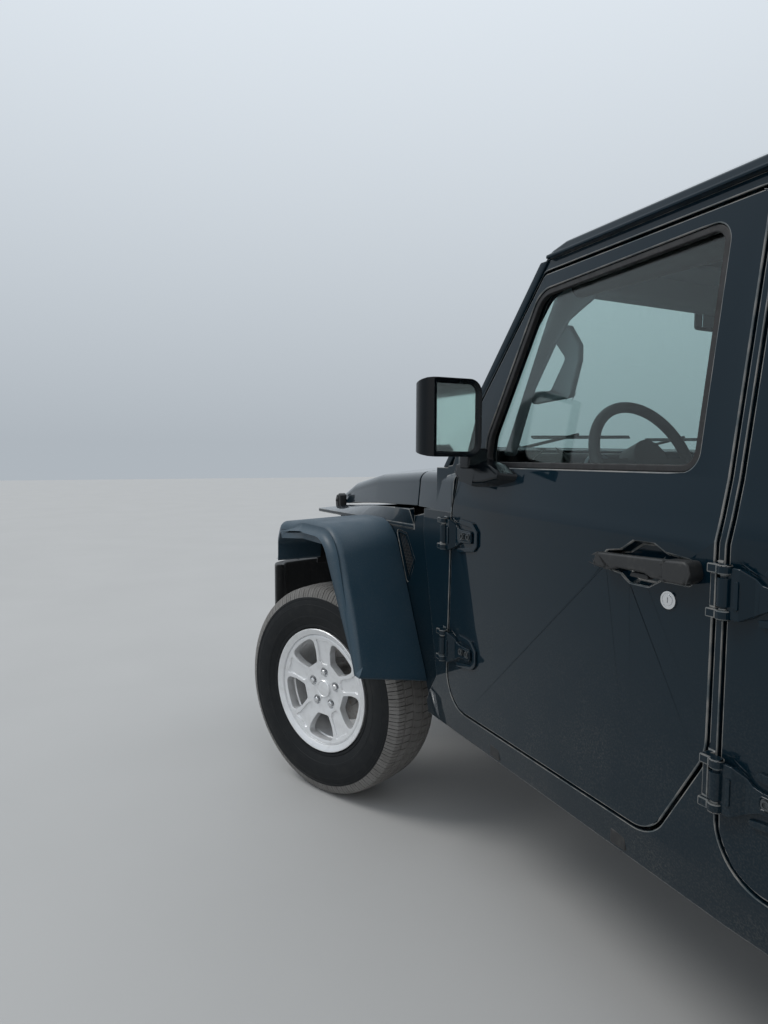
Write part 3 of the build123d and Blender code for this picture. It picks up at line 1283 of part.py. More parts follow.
def rim(with_disc):
    flange, seat = RIM_FLANGE_RADIUS, RIM_BEAD_RADIUS
    edge, bead = RIM_HALF_WIDTH, RIM_HALF_WIDTH - RIM_FLANGE
    barrel = ring_y([
        (-edge, flange), (-bead, flange), (-bead, seat), (-70, seat), (-52, 203), (52, 203),
        (70, seat), (bead, seat), (bead, flange), (edge, flange), (edge, flange - 12),
        (bead + 3, 208), (62, BARREL_INNER_RADIUS), (-60, BARREL_INNER_RADIUS), (-bead, 207),
        (-edge, 214)])
    face = ring_y([(RIM_PAD, 0), (RIM_PAD, 72), (66, 200), (72, 209), (96, 209), (91, 196), (76, 78), (72, 0)])
    for i in range(SPOKES):
        face -= spoke_window(SPOKE_FIRST_DEG + (i + 0.5) * 360 / SPOKES)
    hub = ring_y([(-30, 0), (-30, 78), (46, 78), (46, 0)])
    parts = [barrel, face]
    if with_disc:
        low = -30 - BRAKE_DISC_THICK
        parts.append(hub)
        parts.append(ring_y([(low, 0), (low, BRAKE_DISC_RADIUS), (-30, BRAKE_DISC_RADIUS), (-30, 0)]))
    for i in range(SPOKES):
        angle = math.radians(SPOKE_FIRST_DEG + i * 360 / SPOKES)
        place = (LUG_CIRCLE_RADIUS * math.cos(angle), 0, -LUG_CIRCLE_RADIUS * math.sin(angle))
        parts.append(rod((place[0], 60, place[2]), (place[0], 88, place[2]), LUG_RADIUS))
    parts.append(rod((0, 60, 0), (0, 84, 0), 34))
    wheel = joined(parts)
    if with_disc:
        wheel -= rod((0, -100, 0), (0, 40, 0), SPINDLE_RADIUS + RUNNING_CLEARANCE)
    return wheel


def tyre():
    inner = RIM_BEAD_RADIUS + BEAD_CLEARANCE
    bead = RIM_HALF_WIDTH - RIM_FLANGE - BEAD_CLEARANCE
    half = TYRE_WIDTH / 2
    right = [(bead, inner), (bead, RIM_FLANGE_RADIUS + 2), (half, 305), (half - 8, 362),
             (half - 34, TYRE_RADIUS)]
    left = [(-y, r) for y, r in reversed(right)]
    return ring_y(right + left)


def knuckle_left():
    """steering knuckle: kingpins, spindle, caliper bracket and steering arm"""
    outboard = TRACK / 2 - KINGPIN_Y
    body = block(-38, 38, -24, 42, -65, 65)
    pins = Cylinder(KINGPIN_RADIUS, 2 * (YOKE_GAP + YOKE_THICK - 1))
    flange = rod((0, 40, 0), (0, 52, 0), 62)
    spindle = rod((0, 40, 0), (0, outboard + 38, 0), SPINDLE_RADIUS)
    bracket = block(-150, 0, 38, 52, -42, 42)
    arm = block(20, STEER_ARM, -13, 13, -64, -44)
    arm += Pos(STEER_ARM, 0, -54) * Cylinder(18, 20)
    arm += Pos(STEER_ARM, 0, -40) * Cylinder(8, 48)
    grip = Pos(0, outboard, 0) * caliper(-1)
    return joined([body, pins, flange, spindle, bracket, arm, grip])


def steered(shape, side):
    """a left wheel-end piece, made about its kingpin, set in place and turned as it rests"""
    local = shape if side == 1 else on_right(shape)
    return Pos(FRONT_AXLE_X, side * KINGPIN_Y, AXLE_Z) * Rot(0, 0, STEER_REST_DEG) * local


def tie_rod():
    turn = math.radians(STEER_REST_DEG)
    x = FRONT_AXLE_X + STEER_ARM * math.cos(turn)
    dy = STEER_ARM * math.sin(turn)
    z = AXLE_Z - 26
    bar = rod((x, -KINGPIN_Y + dy, z), (x, KINGPIN_Y + dy, z), TIE_ROD_RADIUS)
    for side in (1, -1):
        bar += Pos(x, side * KINGPIN_Y + dy, z) * Cylinder(20, 24)
    bar -= Pos(x, KINGPIN_Y + dy, z) * Cylinder(8 + RUNNING_CLEARANCE, 60)
    bar -= Pos(x, -KINGPIN_Y + dy, z) * Cylinder(9, 60)
    return bar


def node(name, *solids):
    os.makedirs("parts", exist_ok=True)
    shapes = list(solids)
    whole = shapes[0] if len(shapes) == 1 else Compound(children=shapes)
    export_step(whole, f"parts/{name}.step")


def main():
    left_side = body_side()
    right_side = joined([on_right(left_side)] + gate_hinge_leaves())
    node("body_sides", left_side, right_side)
    node("cowl", cowl())
    node("hood", hood())
    node("radiator", radiator())
    node("windscreen_frame", windscreen_frame())
    node("windscreen_glass", windscreen_glass())
    shell = roof_shell()
    node("roof_panels", *roof_front_panels(shell).solids())
    node("hardtop", hardtop(shell))
    node("hardtop_glass", *hardtop_glass())
    for place in DOORS:
        panel = door(place)
        pane = door_glass(place)
        node(f"door_{place}_left", panel)
        node(f"door_{place}_right", on_right(panel))
        node(f"glass_{place}_left", pane)
        node(f"glass_{place}_right", on_right(pane))
    mirror_left = mirror_head()
    node("mirror_left", mirror_left)
    node("mirror_right", on_right(mirror_left))
    node("swing_gate", swing_gate())

    pan = floor_pan() - left_side - right_side
    fender = front_fender() - left_side - pan
    node("front_fenders", fender, on_right(fender))
    turn = plan_prism([(row_x(b), y, radius) for b, y, radius in FLARE_TURN], 400, 1200)
    front = (flare(FRONT_FLARE_ROOT, FRONT_FLARE_OUTER, 0, FLARE_INNER_Y) & turn) - fender
    rear = flare(REAR_FLARE_OUTER, REAR_FLARE_OUTER, WHEELBASE, 770) - left_side
    node("fender_flares", front, on_right(front), rear, on_right(rear))
    liner = wheel_liner()
    node("wheel_liners", liner, on_right(liner))
    node("front_bumper", front_bumper())
    node("grille", grille())
    node("lamps", *lamps())

    frame = ladder_frame()
    motor = engine()
    axle_front = front_axle()
    axle_rear = rear_axle()
    node("frame", frame)
    node("rear_bumper", rear_bumper() - frame)
    node("floor_pan", pan)
    node("engine", motor)
    node("front_axle", axle_front)
    node("rear_axle", axle_rear)
    node("coil_springs", *coil_springs())
    node("dampers", *dampers())
    node("link_arms", *[arm - frame - axle_front - axle_rear for arm in link_arms()])
    node("drive_shafts", *[s - motor - axle_front - axle_rear for s in drive_shafts()])
    node("fuel_tank", fuel_tank())
    node("exhaust", exhaust())

    node("front_seats", *front_seats())
    node("rear_seat", rear_seat())
    node("dashboard", dashboard())
    node("console", console())
    node("steering_wheel", steering_wheel())
    node("sport_bar", sport_bar() - pan)

    rolling_rim = rim(with_disc=True)
    tyre_ring = tyre()
    outboard = TRACK / 2 - KINGPIN_Y
    knuckle = knuckle_left()
    for side, word in ((1, "left"), (-1, "right")):
        node(f"knuckle_{word}", steered(knuckle, side))
        node(f"rim_front_{word}", steered(Pos(0, outboard, 0) * rolling_rim, side))
        node(f"tyre_front_{word}", steered(Pos(0, outboard, 0) * tyre_ring, side))
        rear_place = Pos(REAR_AXLE_X, TRACK / 2, AXLE_Z)
        for piece, shape in (("rim", rolling_rim), ("tyre", tyre_ring)):
            placed = rear_place * shape
            node(f"{piece}_rear_{word}", placed if side == 1 else on_right(placed))
    node("tie_rod", tie_rod())

    spare_place = Pos(row_x(SPARE_BEHIND), SPARE_Y, SPARE_Z) * Rot(0, 0, 90)
    node("spare_rim", spare_place * rim(with_disc=False))
    node("spare_tyre", spare_place * tyre_ring)


if __name__ == "__main__":
    main()
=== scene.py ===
# %% [markdown]
# # A four-door off-road vehicle, dressed in Blender
# The vehicle arrives as a set of solid nodes in metres: +X points forward, +Y to the left and +Z
# up, and the ground is at zero. This file never moves or reshapes those nodes. It gives them
# finishes, and it models the finer pieces that a solid model leaves out, such as tread, seals,
# hinges, handles and cloth. Each cell makes one piece or one finish.

# %% Load the frame
import bpy
import bmesh
import json
import math
from contextlib import contextmanager
from mathutils import Matrix, Vector

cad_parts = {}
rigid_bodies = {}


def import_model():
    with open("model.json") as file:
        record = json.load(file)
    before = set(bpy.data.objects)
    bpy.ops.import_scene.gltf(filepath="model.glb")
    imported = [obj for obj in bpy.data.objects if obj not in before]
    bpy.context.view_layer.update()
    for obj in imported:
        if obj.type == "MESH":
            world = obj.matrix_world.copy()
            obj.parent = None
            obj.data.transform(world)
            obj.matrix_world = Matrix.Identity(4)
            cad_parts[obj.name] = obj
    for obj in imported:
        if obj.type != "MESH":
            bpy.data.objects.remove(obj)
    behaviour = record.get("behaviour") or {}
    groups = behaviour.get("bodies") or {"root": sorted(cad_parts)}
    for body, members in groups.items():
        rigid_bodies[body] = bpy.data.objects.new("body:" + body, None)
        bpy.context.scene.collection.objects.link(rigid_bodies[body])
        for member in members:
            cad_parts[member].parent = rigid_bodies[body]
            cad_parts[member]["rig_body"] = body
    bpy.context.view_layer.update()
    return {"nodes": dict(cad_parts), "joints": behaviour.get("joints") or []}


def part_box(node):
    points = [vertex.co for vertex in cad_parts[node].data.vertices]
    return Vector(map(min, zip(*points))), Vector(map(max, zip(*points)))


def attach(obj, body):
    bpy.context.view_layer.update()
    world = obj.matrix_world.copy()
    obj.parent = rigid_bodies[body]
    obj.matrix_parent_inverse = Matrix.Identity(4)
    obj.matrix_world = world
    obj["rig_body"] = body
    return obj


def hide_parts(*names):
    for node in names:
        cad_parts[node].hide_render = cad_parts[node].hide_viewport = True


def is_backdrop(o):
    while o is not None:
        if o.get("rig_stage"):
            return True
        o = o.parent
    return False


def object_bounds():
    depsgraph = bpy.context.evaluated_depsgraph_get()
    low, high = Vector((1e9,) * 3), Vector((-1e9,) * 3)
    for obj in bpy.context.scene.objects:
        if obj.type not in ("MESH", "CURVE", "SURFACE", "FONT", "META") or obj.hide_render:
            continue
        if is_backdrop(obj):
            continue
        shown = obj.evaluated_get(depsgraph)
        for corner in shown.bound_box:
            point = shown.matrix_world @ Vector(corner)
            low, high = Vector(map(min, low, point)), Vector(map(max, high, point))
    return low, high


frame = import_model()
nodes = frame["nodes"]


# %% [markdown]
# ## Where things are
# Every place below starts from a few facts read off the frame: the wheel centres, the half width
# of the body side and the heights of the main lines. The body side widens slowly from the front
# door to the rear door, so a small function gives its half width at any X.

# %% Driving places
def middle(node):
    """the middle of a node's box"""
    low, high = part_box(node)
    return (low + high) / 2


FRONT_AXLE = (middle("tyre_front_left").x + middle("tyre_front_right").x) / 2
REAR_AXLE = middle("tyre_rear_left").x
AXLE_Z = middle("tyre_rear_left").z
SIDE_STATIONS = ((0.440, 0.7005), (1.735, 0.780), (2.600, 0.790), (3.735, 0.780))
print("front axle", round(FRONT_AXLE, 4), "rear axle", round(REAR_AXLE, 4))


def row_x(behind):
    """the X of a place given as its distance behind the front axle"""
    return FRONT_AXLE - behind


def side_y(behind):
    """half width of the body side at a place behind the front axle"""
    for first, last in zip(SIDE_STATIONS, SIDE_STATIONS[1:]):
        if behind <= last[0]:
            break
    share = (behind - first[0]) / (last[0] - first[0])
    return first[1] + share * (last[1] - first[1])


# %% [markdown]
# ## The camera
# The photograph is taken from beside the rear door, a little under eye level, looking forward
# along the vehicle. The camera's place and its three turns are real distances and angles, found
# by matching the wheel, the door edges and the window with the vehicle's known sizes.

# %% Camera
CAMERA_BEHIND = 2.514
CAMERA_Y = 1.866
CAMERA_Z = 1.286
CAMERA_YAW = math.radians(-27.35)
CAMERA_PITCH = math.radians(-4.49)
CAMERA_ROLL = math.radians(0.244)
FOCAL_PIXELS = 700
LONG_SIDE_PIXELS = 1024
SENSOR_MM = 36

forward = Vector((math.cos(CAMERA_PITCH) * math.cos(CAMERA_YAW),
                  math.cos(CAMERA_PITCH) * math.sin(CAMERA_YAW), math.sin(CAMERA_PITCH)))
level_right = forward.cross(Vector((0, 0, 1))).normalized()
level_up = level_right.cross(forward)
right = level_right * math.cos(CAMERA_ROLL) + level_up * math.sin(CAMERA_ROLL)
up = level_up * math.cos(CAMERA_ROLL) - level_right * math.sin(CAMERA_ROLL)

camera_data = bpy.data.cameras.new("camera")
camera_data.sensor_width = SENSOR_MM
camera_data.lens = FOCAL_PIXELS * SENSOR_MM / LONG_SIDE_PIXELS
camera = bpy.data.objects.new("camera", camera_data)
bpy.context.scene.collection.objects.link(camera)
turn = Matrix((right, up, -forward)).transposed().to_4x4()
camera.matrix_world = Matrix.Translation((row_x(CAMERA_BEHIND), CAMERA_Y, CAMERA_Z)) @ turn
bpy.context.scene.camera = camera
bpy.context.scene.view_settings.view_transform = "Standard"
print("lens", round(camera_data.lens, 2))


# %% [markdown]
# ## Light, floor and sky
# The photograph was taken outdoors under a soft pale sky. A pale world and one wide, weak sun give
# that light, and a plain pale floor keeps the vehicle's shadow. The sky is a little brighter high
# up, so that the leaning upper panels and the flare's top read lighter than the upright door. Low
# behind the vehicle it glows warm, and that draws the light lines on edges that face rearwards.

# %% Light and floor
SKY_LOW = (0.50, 0.55, 0.60, 1)
SKY_HIGH = (0.98, 1.06, 1.14, 1)
SKY_STRENGTH = 0.85
GLOW = (0.42, 0.37, 0.33, 1)
GLOW_FROM = -0.15
GLOW_TO = -0.95
SUN_ENERGY = 1.1
SUN_TURN = (math.radians(38), 0, math.radians(145))
SUN_SPREAD = math.radians(24)
SUN_COLOUR = (1.0, 0.97, 0.93)
FADE_FROM = 0.02
FADE_TO = 0.70
FLOOR_COLOUR = (0.40, 0.40, 0.395, 1)

world = bpy.data.worlds.new("soft sky")
bpy.context.scene.world = world
world.use_nodes = True
sky = world.node_tree
direction = sky.nodes.new("ShaderNodeTexCoord")
height = sky.nodes.new("ShaderNodeSeparateXYZ")
fade = sky.nodes.new("ShaderNodeValToRGB")
for stop, position, colour in zip(fade.color_ramp.elements, (FADE_FROM, FADE_TO), (SKY_LOW, SKY_HIGH)):
    stop.position = position
    stop.color = colour
sky.links.new(direction.outputs["Generated"], height.inputs["Vector"])
sky.links.new(height.outputs["Z"], fade.inputs["Fac"])
background = sky.nodes["Background"]
behind_us = sky.nodes.new("ShaderNodeMapRange")
for socket, number in (("From Min", GLOW_FROM), ("From Max", GLOW_TO), ("To Min", 0), ("To Max", 1)):
    behind_us.inputs[socket].default_value = number
sky.links.new(height.outputs["X"], behind_us.inputs["Value"])
glow = sky.nodes.new("ShaderNodeMix")
glow.data_type = "RGBA"
glow.blend_type = "ADD"
glow.inputs["B"].default_value = GLOW
sky.links.new(behind_us.outputs["Result"], glow.inputs["Factor"])
sky.links.new(fade.outputs["Color"], glow.inputs["A"])
sky.links.new(glow.outputs["Result"], background.inputs["Color"])
background.inputs["Strength"].default_value = SKY_STRENGTH

sun = bpy.data.lights.new("soft sun", "SUN")
sun.energy = SUN_ENERGY
sun.angle = SUN_SPREAD
sun.color = SUN_COLOUR
sun_object = bpy.data.objects.new("soft sun", sun)
sun_object.rotation_euler = SUN_TURN
bpy.context.scene.collection.objects.link(sun_object)

bpy.ops.mesh.primitive_plane_add(size=80)
floor = bpy.context.object
floor.name = "floor"
floor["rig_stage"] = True
print("sun", SUN_ENERGY, "sky", SKY_STRENGTH)


# %% [markdown]
# ## Finishes
# Each finish is a Principled shader with a little procedural variation at its real scale. All of
# them read Object coordinates, which are metres here, so that a pattern has one size everywhere.
# Two small helpers add the noise and turn it into a range, a colour mix or a bump.

# %% Finish helpers
def new_finish(name, colour, roughness, metallic=0.0, **sockets):
    """a material whose shader has these plain values"""
    finish = bpy.data.materials.new(name)
    finish.use_nodes = True
    shader = finish.node_tree.nodes["Principled BSDF"]
    shader.inputs["Base Color"].default_value = (*colour, 1)
    shader.inputs["Roughness"].default_value = roughness
    shader.inputs["Metallic"].default_value = metallic
    for socket, value in sockets.items():
        shader.inputs[socket.replace("_", " ")].default_value = value
    return finish


def noise(finish, scale, detail=3, stretch=(1, 1, 1)):
    """a noise pattern with so many features a metre"""
    tree = finish.node_tree
    place = tree.nodes.new("ShaderNodeTexCoord")
    mapping = tree.nodes.new("ShaderNodeMapping")
    mapping.inputs["Scale"].default_value = stretch
    pattern = tree.nodes.new("ShaderNodeTexNoise")
    pattern.inputs["Scale"].default_value = scale
    pattern.inputs["Detail"].default_value = detail
    tree.links.new(place.outputs["Object"], mapping.inputs["Vector"])
    tree.links.new(mapping.outputs["Vector"], pattern.inputs["Vector"])
    return pattern.outputs["Fac"]


def ranged(finish, value, start, end, low, high):
    """the value, stretched from one range to another"""
    tree = finish.node_tree
    span = tree.nodes.new("ShaderNodeMapRange")
    for socket, number in (("From Min", start), ("From Max", end), ("To Min", low), ("To Max", high)):
        span.inputs[socket].default_value = number
    tree.links.new(value, span.inputs["Value"])
    return span.outputs["Result"]


def times(finish, first, second):
    """two values multiplied"""
    tree = finish.node_tree
    product = tree.nodes.new("ShaderNodeMath")
    product.operation = "MULTIPLY"
    tree.links.new(first, product.inputs[0])
    tree.links.new(second, product.inputs[1])
    return product.outputs["Value"]


def tint(finish, share, other):
    """the base colour, mixed towards another colour by a share"""
    tree = finish.node_tree
    shader = tree.nodes["Principled BSDF"]
    mix = tree.nodes.new("ShaderNodeMix")
    mix.data_type = "RGBA"
    mix.inputs["A"].default_value = shader.inputs["Base Color"].default_value
    mix.inputs["B"].default_value = (*other, 1)
    tree.links.new(share, mix.inputs["Factor"])
    if shader.inputs["Base Color"].is_linked:
        tree.links.new(shader.inputs["Base Color"].links[0].from_socket, mix.inputs["A"])
    tree.links.new(mix.outputs["Result"], shader.inputs["Base Color"])


def roughen(finish, value):
    finish.node_tree.links.new(value, finish.node_tree.nodes["Principled BSDF"].inputs["Roughness"])


def bump(finish, value, distance, strength=1.0):
    """a bump so many metres deep, on top of any bump that is already there"""
    tree = finish.node_tree
    shader = tree.nodes["Principled BSDF"]
    relief = tree.nodes.new("ShaderNodeBump")
    relief.inputs["Distance"].default_value = distance
    relief.inputs["Strength"].default_value = strength
    tree.links.new(value, relief.inputs["Height"])
    if shader.inputs["Normal"].is_linked:
        tree.links.new(shader.inputs["Normal"].links[0].from_socket, relief.inputs["Normal"])
    tree.links.new(relief.outputs["Normal"], shader.inputs["Normal"])


def height_share(finish, low, high):
    """one at the low height, falling to zero at the high one"""
    tree = finish.node_tree
    place = tree.nodes.new("ShaderNodeTexCoord")
    split = tree.nodes.new("ShaderNodeSeparateXYZ")
    tree.links.new(place.outputs["Object"], split.inputs["Vector"])
    return ranged(finish, split.outputs["Z"], low, high, 1.0, 0.0)


def spotted(finish, scale, detail, start, end, most, colour, least=0.0):
    """another colour, more of it the higher a noise lies between start and end"""
    tint(finish, ranged(finish, noise(finish, scale, detail), start, end, least, most), colour)


def uneven(finish, scale, detail, low, high):
    """a roughness that wanders between two values"""
    roughen(finish, ranged(finish, noise(finish, scale, detail), 0.3, 0.7, low, high))


def grained(finish, scale, detail, distance, strength):
    """a noise as relief, so many metres deep"""
    bump(finish, noise(finish, scale, detail), distance, strength)


# %% [markdown]
# ## Paint
# The body is a deep blue-green under clear coat. Road dust has settled low down, on the rocker and
# the bottom of the doors: a noise pattern, faded out with height, lightens the colour and dulls the
# shine there. A very faint wide ripple keeps the reflections from looking machined. The rounded
# panel edges carry a painted highlight: a light grey finish, with a few spots of the body's colour,
# which draws every gap as a light line beside its shadow.

# %% Paint
DUST = (0.16, 0.15, 0.13)
TREAD_DUST = (0.19, 0.185, 0.178)
DUST_TOP = 0.95
paint = new_finish("body paint", (0.0012, 0.0105, 0.0185), 0.30, 0.10, Coat_Weight=1.0,
                   Coat_Roughness=0.02, Coat_IOR=1.34, Specular_IOR_Level=0.04)
speckle = ranged(paint, noise(paint, 260, 5), 0.45, 0.75, 0.0, 1.0)
cloud = ranged(paint, noise(paint, 7, 4), 0.35, 0.70, 0.25, 1.0)
low_down = height_share(paint, 0.44, DUST_TOP)
dusty = times(paint, times(paint, speckle, cloud), low_down)
tint(paint, ranged(paint, dusty, 0.0, 1.0, 0.0, 0.30), DUST)
film = times(paint, cloud, low_down)
tint(paint, ranged(paint, film, 0.0, 1.0, 0.0, 0.025), DUST)
roughen(paint, ranged(paint, film, 0.0, 1.0, 0.28, 0.50))
grained(paint, 5, 1, 0.0004, 0.25)
grained(paint, 900, 1, 0.00004, 0.35)

# Painted highlight: a light grey for the rounded edges of painted panels, with spots of the body's colour.
painted_edge_highlight = new_finish("paint edge", (0.17, 0.165, 0.155), 0.32, Coat_Weight=0.8, Coat_Roughness=0.05)
spotted(painted_edge_highlight, 25, 4, 0.40, 0.65, 0.85, (0.02, 0.04, 0.05))


# %% [markdown]
# ## Plastics, rubber and glass
# The flares are painted a lighter slate than the doors and have a fine grain, while the bumpers,
# mirrors and liners are black moulded plastic. Window glass is slightly green and really lets
# light through, so the cabin shows. Seals are dull black rubber.

# %% Plastics, rubber and glass
flare_plastic = new_finish("flare plastic", (0.018, 0.046, 0.070), 0.40, Specular_IOR_Level=0.5)
grained(flare_plastic, 850, 2, 0.00016, 0.55)
uneven(flare_plastic, 9, 4, 0.40, 0.58)
spotted(flare_plastic, 300, 4, 0.52, 0.75, 0.22, DUST)

black_plastic = new_finish("black plastic", (0.016, 0.017, 0.018), 0.48)
grained(black_plastic, 1100, 2, 0.00018, 0.5)
uneven(black_plastic, 14, 4, 0.42, 0.62)
spotted(black_plastic, 60, 5, 0.55, 0.8, 0.15, DUST)

gloss_black = new_finish("gloss black", (0.002, 0.004, 0.006), 0.22, Specular_IOR_Level=0.25)
uneven(gloss_black, 20, 3, 0.18, 0.28)

cabin_plastic = new_finish("cabin plastic", (0.022, 0.023, 0.025), 0.6)
grained(cabin_plastic, 700, 3, 0.0001, 0.2)
spotted(cabin_plastic, 3, 3, 0.4, 0.7, 0.5, (0.032, 0.033, 0.035))

trim_grey = new_finish("pillar trim", (0.27, 0.31, 0.34), 0.7)
grained(trim_grey, 600, 3, 0.0001, 0.3)
spotted(trim_grey, 4, 3, 0.4, 0.7, 0.4, (0.30, 0.33, 0.36))

seal_rubber = new_finish("seal rubber", (0.010, 0.010, 0.011), 0.55)
uneven(seal_rubber, 40, 4, 0.42, 0.7)
spotted(seal_rubber, 120, 4, 0.55, 0.8, 0.12, DUST)

glass = new_finish("window glass", (0.72, 0.84, 0.82), 0.0, Transmission_Weight=1.0, IOR=1.45)
grained(glass, 2.5, 1, 0.0003, 0.12)
clear_lens = new_finish("clear lens", (0.95, 0.96, 0.97), 0.02, Transmission_Weight=1.0, IOR=1.45)
grained(clear_lens, 60, 1, 0.0004, 0.3)
red_lens = new_finish("red lens", (0.42, 0.008, 0.008), 0.08, Transmission_Weight=0.35)
grained(red_lens, 90, 1, 0.0004, 0.3)
amber_lens = new_finish("amber lens", (0.75, 0.20, 0.01), 0.08, Transmission_Weight=0.3)
grained(amber_lens, 90, 1, 0.0004, 0.3)


# %% [markdown]
# ## Metals, tyre, cloth and underbody
# Rims are painted silver with a little brake dust, nuts and locks are bright chrome, and the parts
# under the body are black or raw cast metal. Tyre rubber is dark on its sidewall and carries tan
# dust on its tread, which a pattern of height above the tread's floor can't know, so the tread is
# its own finish.

# %% Metals, tyre, cloth and underbody
alloy = new_finish("wheel alloy", (0.78, 0.79, 0.80), 0.36, 0.55, Coat_Weight=0.35,
                   Coat_Roughness=0.08)
spotted(alloy, 35, 5, 0.50, 0.80, 0.22, (0.30, 0.28, 0.26))
uneven(alloy, 50, 4, 0.28, 0.46)

chrome = new_finish("chrome", (0.72, 0.73, 0.74), 0.14, 1.0)
uneven(chrome, 120, 4, 0.08, 0.24)
bolt_steel = new_finish("coated bolt", (0.10, 0.11, 0.115), 0.38, 0.8)
uneven(bolt_steel, 200, 3, 0.28, 0.5)
mirror_glass = new_finish("mirror glass", (0.62, 0.70, 0.71), 0.02, 1.0)
uneven(mirror_glass, 6, 2, 0.01, 0.05)

chassis = new_finish("chassis black", (0.014, 0.014, 0.014), 0.5)
spotted(chassis, 30, 5, 0.48, 0.75, 0.5, DUST)
grained(chassis, 220, 4, 0.0005, 0.5)
cast = new_finish("cast metal", (0.11, 0.105, 0.10), 0.65, 0.4)
spotted(cast, 45, 5, 0.45, 0.75, 0.7, (0.10, 0.055, 0.03))
grained(cast, 420, 4, 0.0006, 0.7)
disc_steel = new_finish("disc steel", (0.36, 0.35, 0.34), 0.36, 1.0)
spotted(disc_steel, 90, 4, 0.5, 0.75, 0.5, (0.18, 0.10, 0.06))
exhaust_steel = new_finish("exhaust steel", (0.34, 0.32, 0.30), 0.42, 0.9)
spotted(exhaust_steel, 25, 5, 0.4, 0.7, 0.6, (0.17, 0.12, 0.085))
floor_paint = new_finish("underbody paint", (0.011, 0.022, 0.028), 0.6)
spotted(floor_paint, 12, 5, 0.4, 0.7, 0.4, DUST)
grained(floor_paint, 160, 3, 0.0006, 0.6)

sidewall = new_finish("tyre sidewall", (0.0035, 0.0050, 0.0065), 0.62, Specular_IOR_Level=0.3)
spotted(sidewall, 28, 5, 0.50, 0.85, 0.05, DUST)
grained(sidewall, 500, 3, 0.0002, 0.6)
tread_rubber = new_finish("dusty tread", (0.09, 0.085, 0.078), 0.9)
spotted(tread_rubber, 22, 3, 0.35, 0.65, 0.95, TREAD_DUST, least=0.55)
grained(tread_rubber, 420, 4, 0.0004, 0.8)


def woven(finish, pitch, depth):
    """the crossed threads of cloth, one bump a pitch in metres"""
    tree = finish.node_tree
    place = tree.nodes.new("ShaderNodeTexCoord")
    for turn_about in ((0, 0, 0), (0, 0, math.radians(90)), (0, math.radians(90), 0)):
        mapping = tree.nodes.new("ShaderNodeMapping")
        mapping.inputs["Rotation"].default_value = turn_about
        wave = tree.nodes.new("ShaderNodeTexWave")
        wave.inputs["Scale"].default_value = 0.31 / pitch
        wave.inputs["Distortion"].default_value = 0.4
        tree.links.new(place.outputs["Object"], mapping.inputs["Vector"])
        tree.links.new(mapping.outputs["Vector"], wave.inputs["Vector"])
        bump(finish, wave.outputs["Fac"], depth, 0.6)


seat_cloth = new_finish("seat cloth", (0.020, 0.021, 0.023), 0.9, Sheen_Weight=0.35)
spotted(seat_cloth, 500, 4, 0.4, 0.7, 0.6, (0.05, 0.05, 0.052))
woven(seat_cloth, 0.0016, 0.0004)
stitch_thread = new_finish("seat stitching", (0.20, 0.21, 0.22), 0.8)
spotted(stitch_thread, 300, 3, 0.4, 0.7, 0.6, (0.12, 0.12, 0.12))
ground = new_finish("pale floor", FLOOR_COLOUR[:3], 0.9)
spotted(ground, 1.2, 4, 0.35, 0.7, 0.5, (0.43, 0.43, 0.425))
floor.data.materials.append(ground)
print("finishes", len(bpy.data.materials))


# %% [markdown]
# ## Working by hand, in code
# New pieces are shaped as by hand: a primitive or an outline is added, faces and edges are picked
# by their place or normal, and edit-mode operators work on the selection. These few helpers hold
# the steps that every piece repeats: picking things, applying a modifier and handing a piece over
# to the body that carries it.

# %% Modelling helpers
TAU = 2 * math.pi


def only(obj):
    """make this the one selected and active object"""
    bpy.ops.object.select_all(action="DESELECT")
    obj.select_set(True)
    bpy.context.view_layer.objects.active = obj


@contextmanager
def editing(obj):
    """edit mode on this one object, with all of it selected at the start"""
    only(obj)
    bpy.ops.object.mode_set(mode="EDIT")
    bpy.ops.mesh.select_all(action="SELECT")
    yield
    bpy.ops.object.mode_set(mode="OBJECT")


def pick(obj, faces=None, edges=None, verts=None):
    """in edit mode, select just what the given test accepts, and count it"""
    mesh = bmesh.from_edit_mesh(obj.data)
    bpy.ops.mesh.select_all(action="DESELECT")
    kind, test, items = (("FACE", faces, mesh.faces) if faces else
                         ("EDGE", edges, mesh.edges) if edges else ("VERT", verts, mesh.verts))
    bpy.ops.mesh.select_mode(type=kind)
    chosen = [item for item in items if test(item)]
    for item in chosen:
        item.select_set(True)
    bmesh.update_edit_mesh(obj.data)
    return len(chosen)


def modified(obj, kind, **settings):
    """add a modifier, set it up and apply it"""
    only(obj)
    modifier = obj.modifiers.new(kind.lower(), kind)
    for setting, value in settings.items():
        setattr(modifier, setting, value)
    bpy.ops.object.modifier_apply(modifier=modifier.name)
    return obj


def triangulated(obj):
    """split faces of many corners, which a bevel could otherwise fold over themselves"""
    return modified(obj, "TRIANGULATE", quad_method="BEAUTY", ngon_method="BEAUTY", min_vertices=5)


def highlight_edged(obj):
    """give a mesh two material slots, the second a painted highlight for the rounds on its edges"""
    while len(obj.data.materials) < 2:
        obj.data.materials.append(painted_edge_highlight)
    return obj


def rounded(obj, width, segments=2, angle=30):
    """small rounds on every edge sharper than the angle"""
    triangulated(obj)
    return modified(obj, "BEVEL", width=width, segments=segments, limit_method="ANGLE",
                    angle_limit=math.radians(angle), use_clamp_overlap=False,
                    material=min(1, len(obj.data.materials) - 1))


def flattened(obj):
    """merge the triangles of each flat face again, so that one normal holds all over it"""
    with editing(obj):
        bpy.ops.mesh.dissolve_limited(angle_limit=math.radians(0.1), delimit={"MATERIAL"})
    return obj


def smooth(obj, angle=32):
    """smooth shading across soft edges, led by the largest faces so that flat panels stay flat"""
    only(obj)
    bpy.ops.object.shade_smooth_by_angle(angle=math.radians(angle))
    return modified(obj, "WEIGHTED_NORMAL", keep_sharp=True, weight=100)


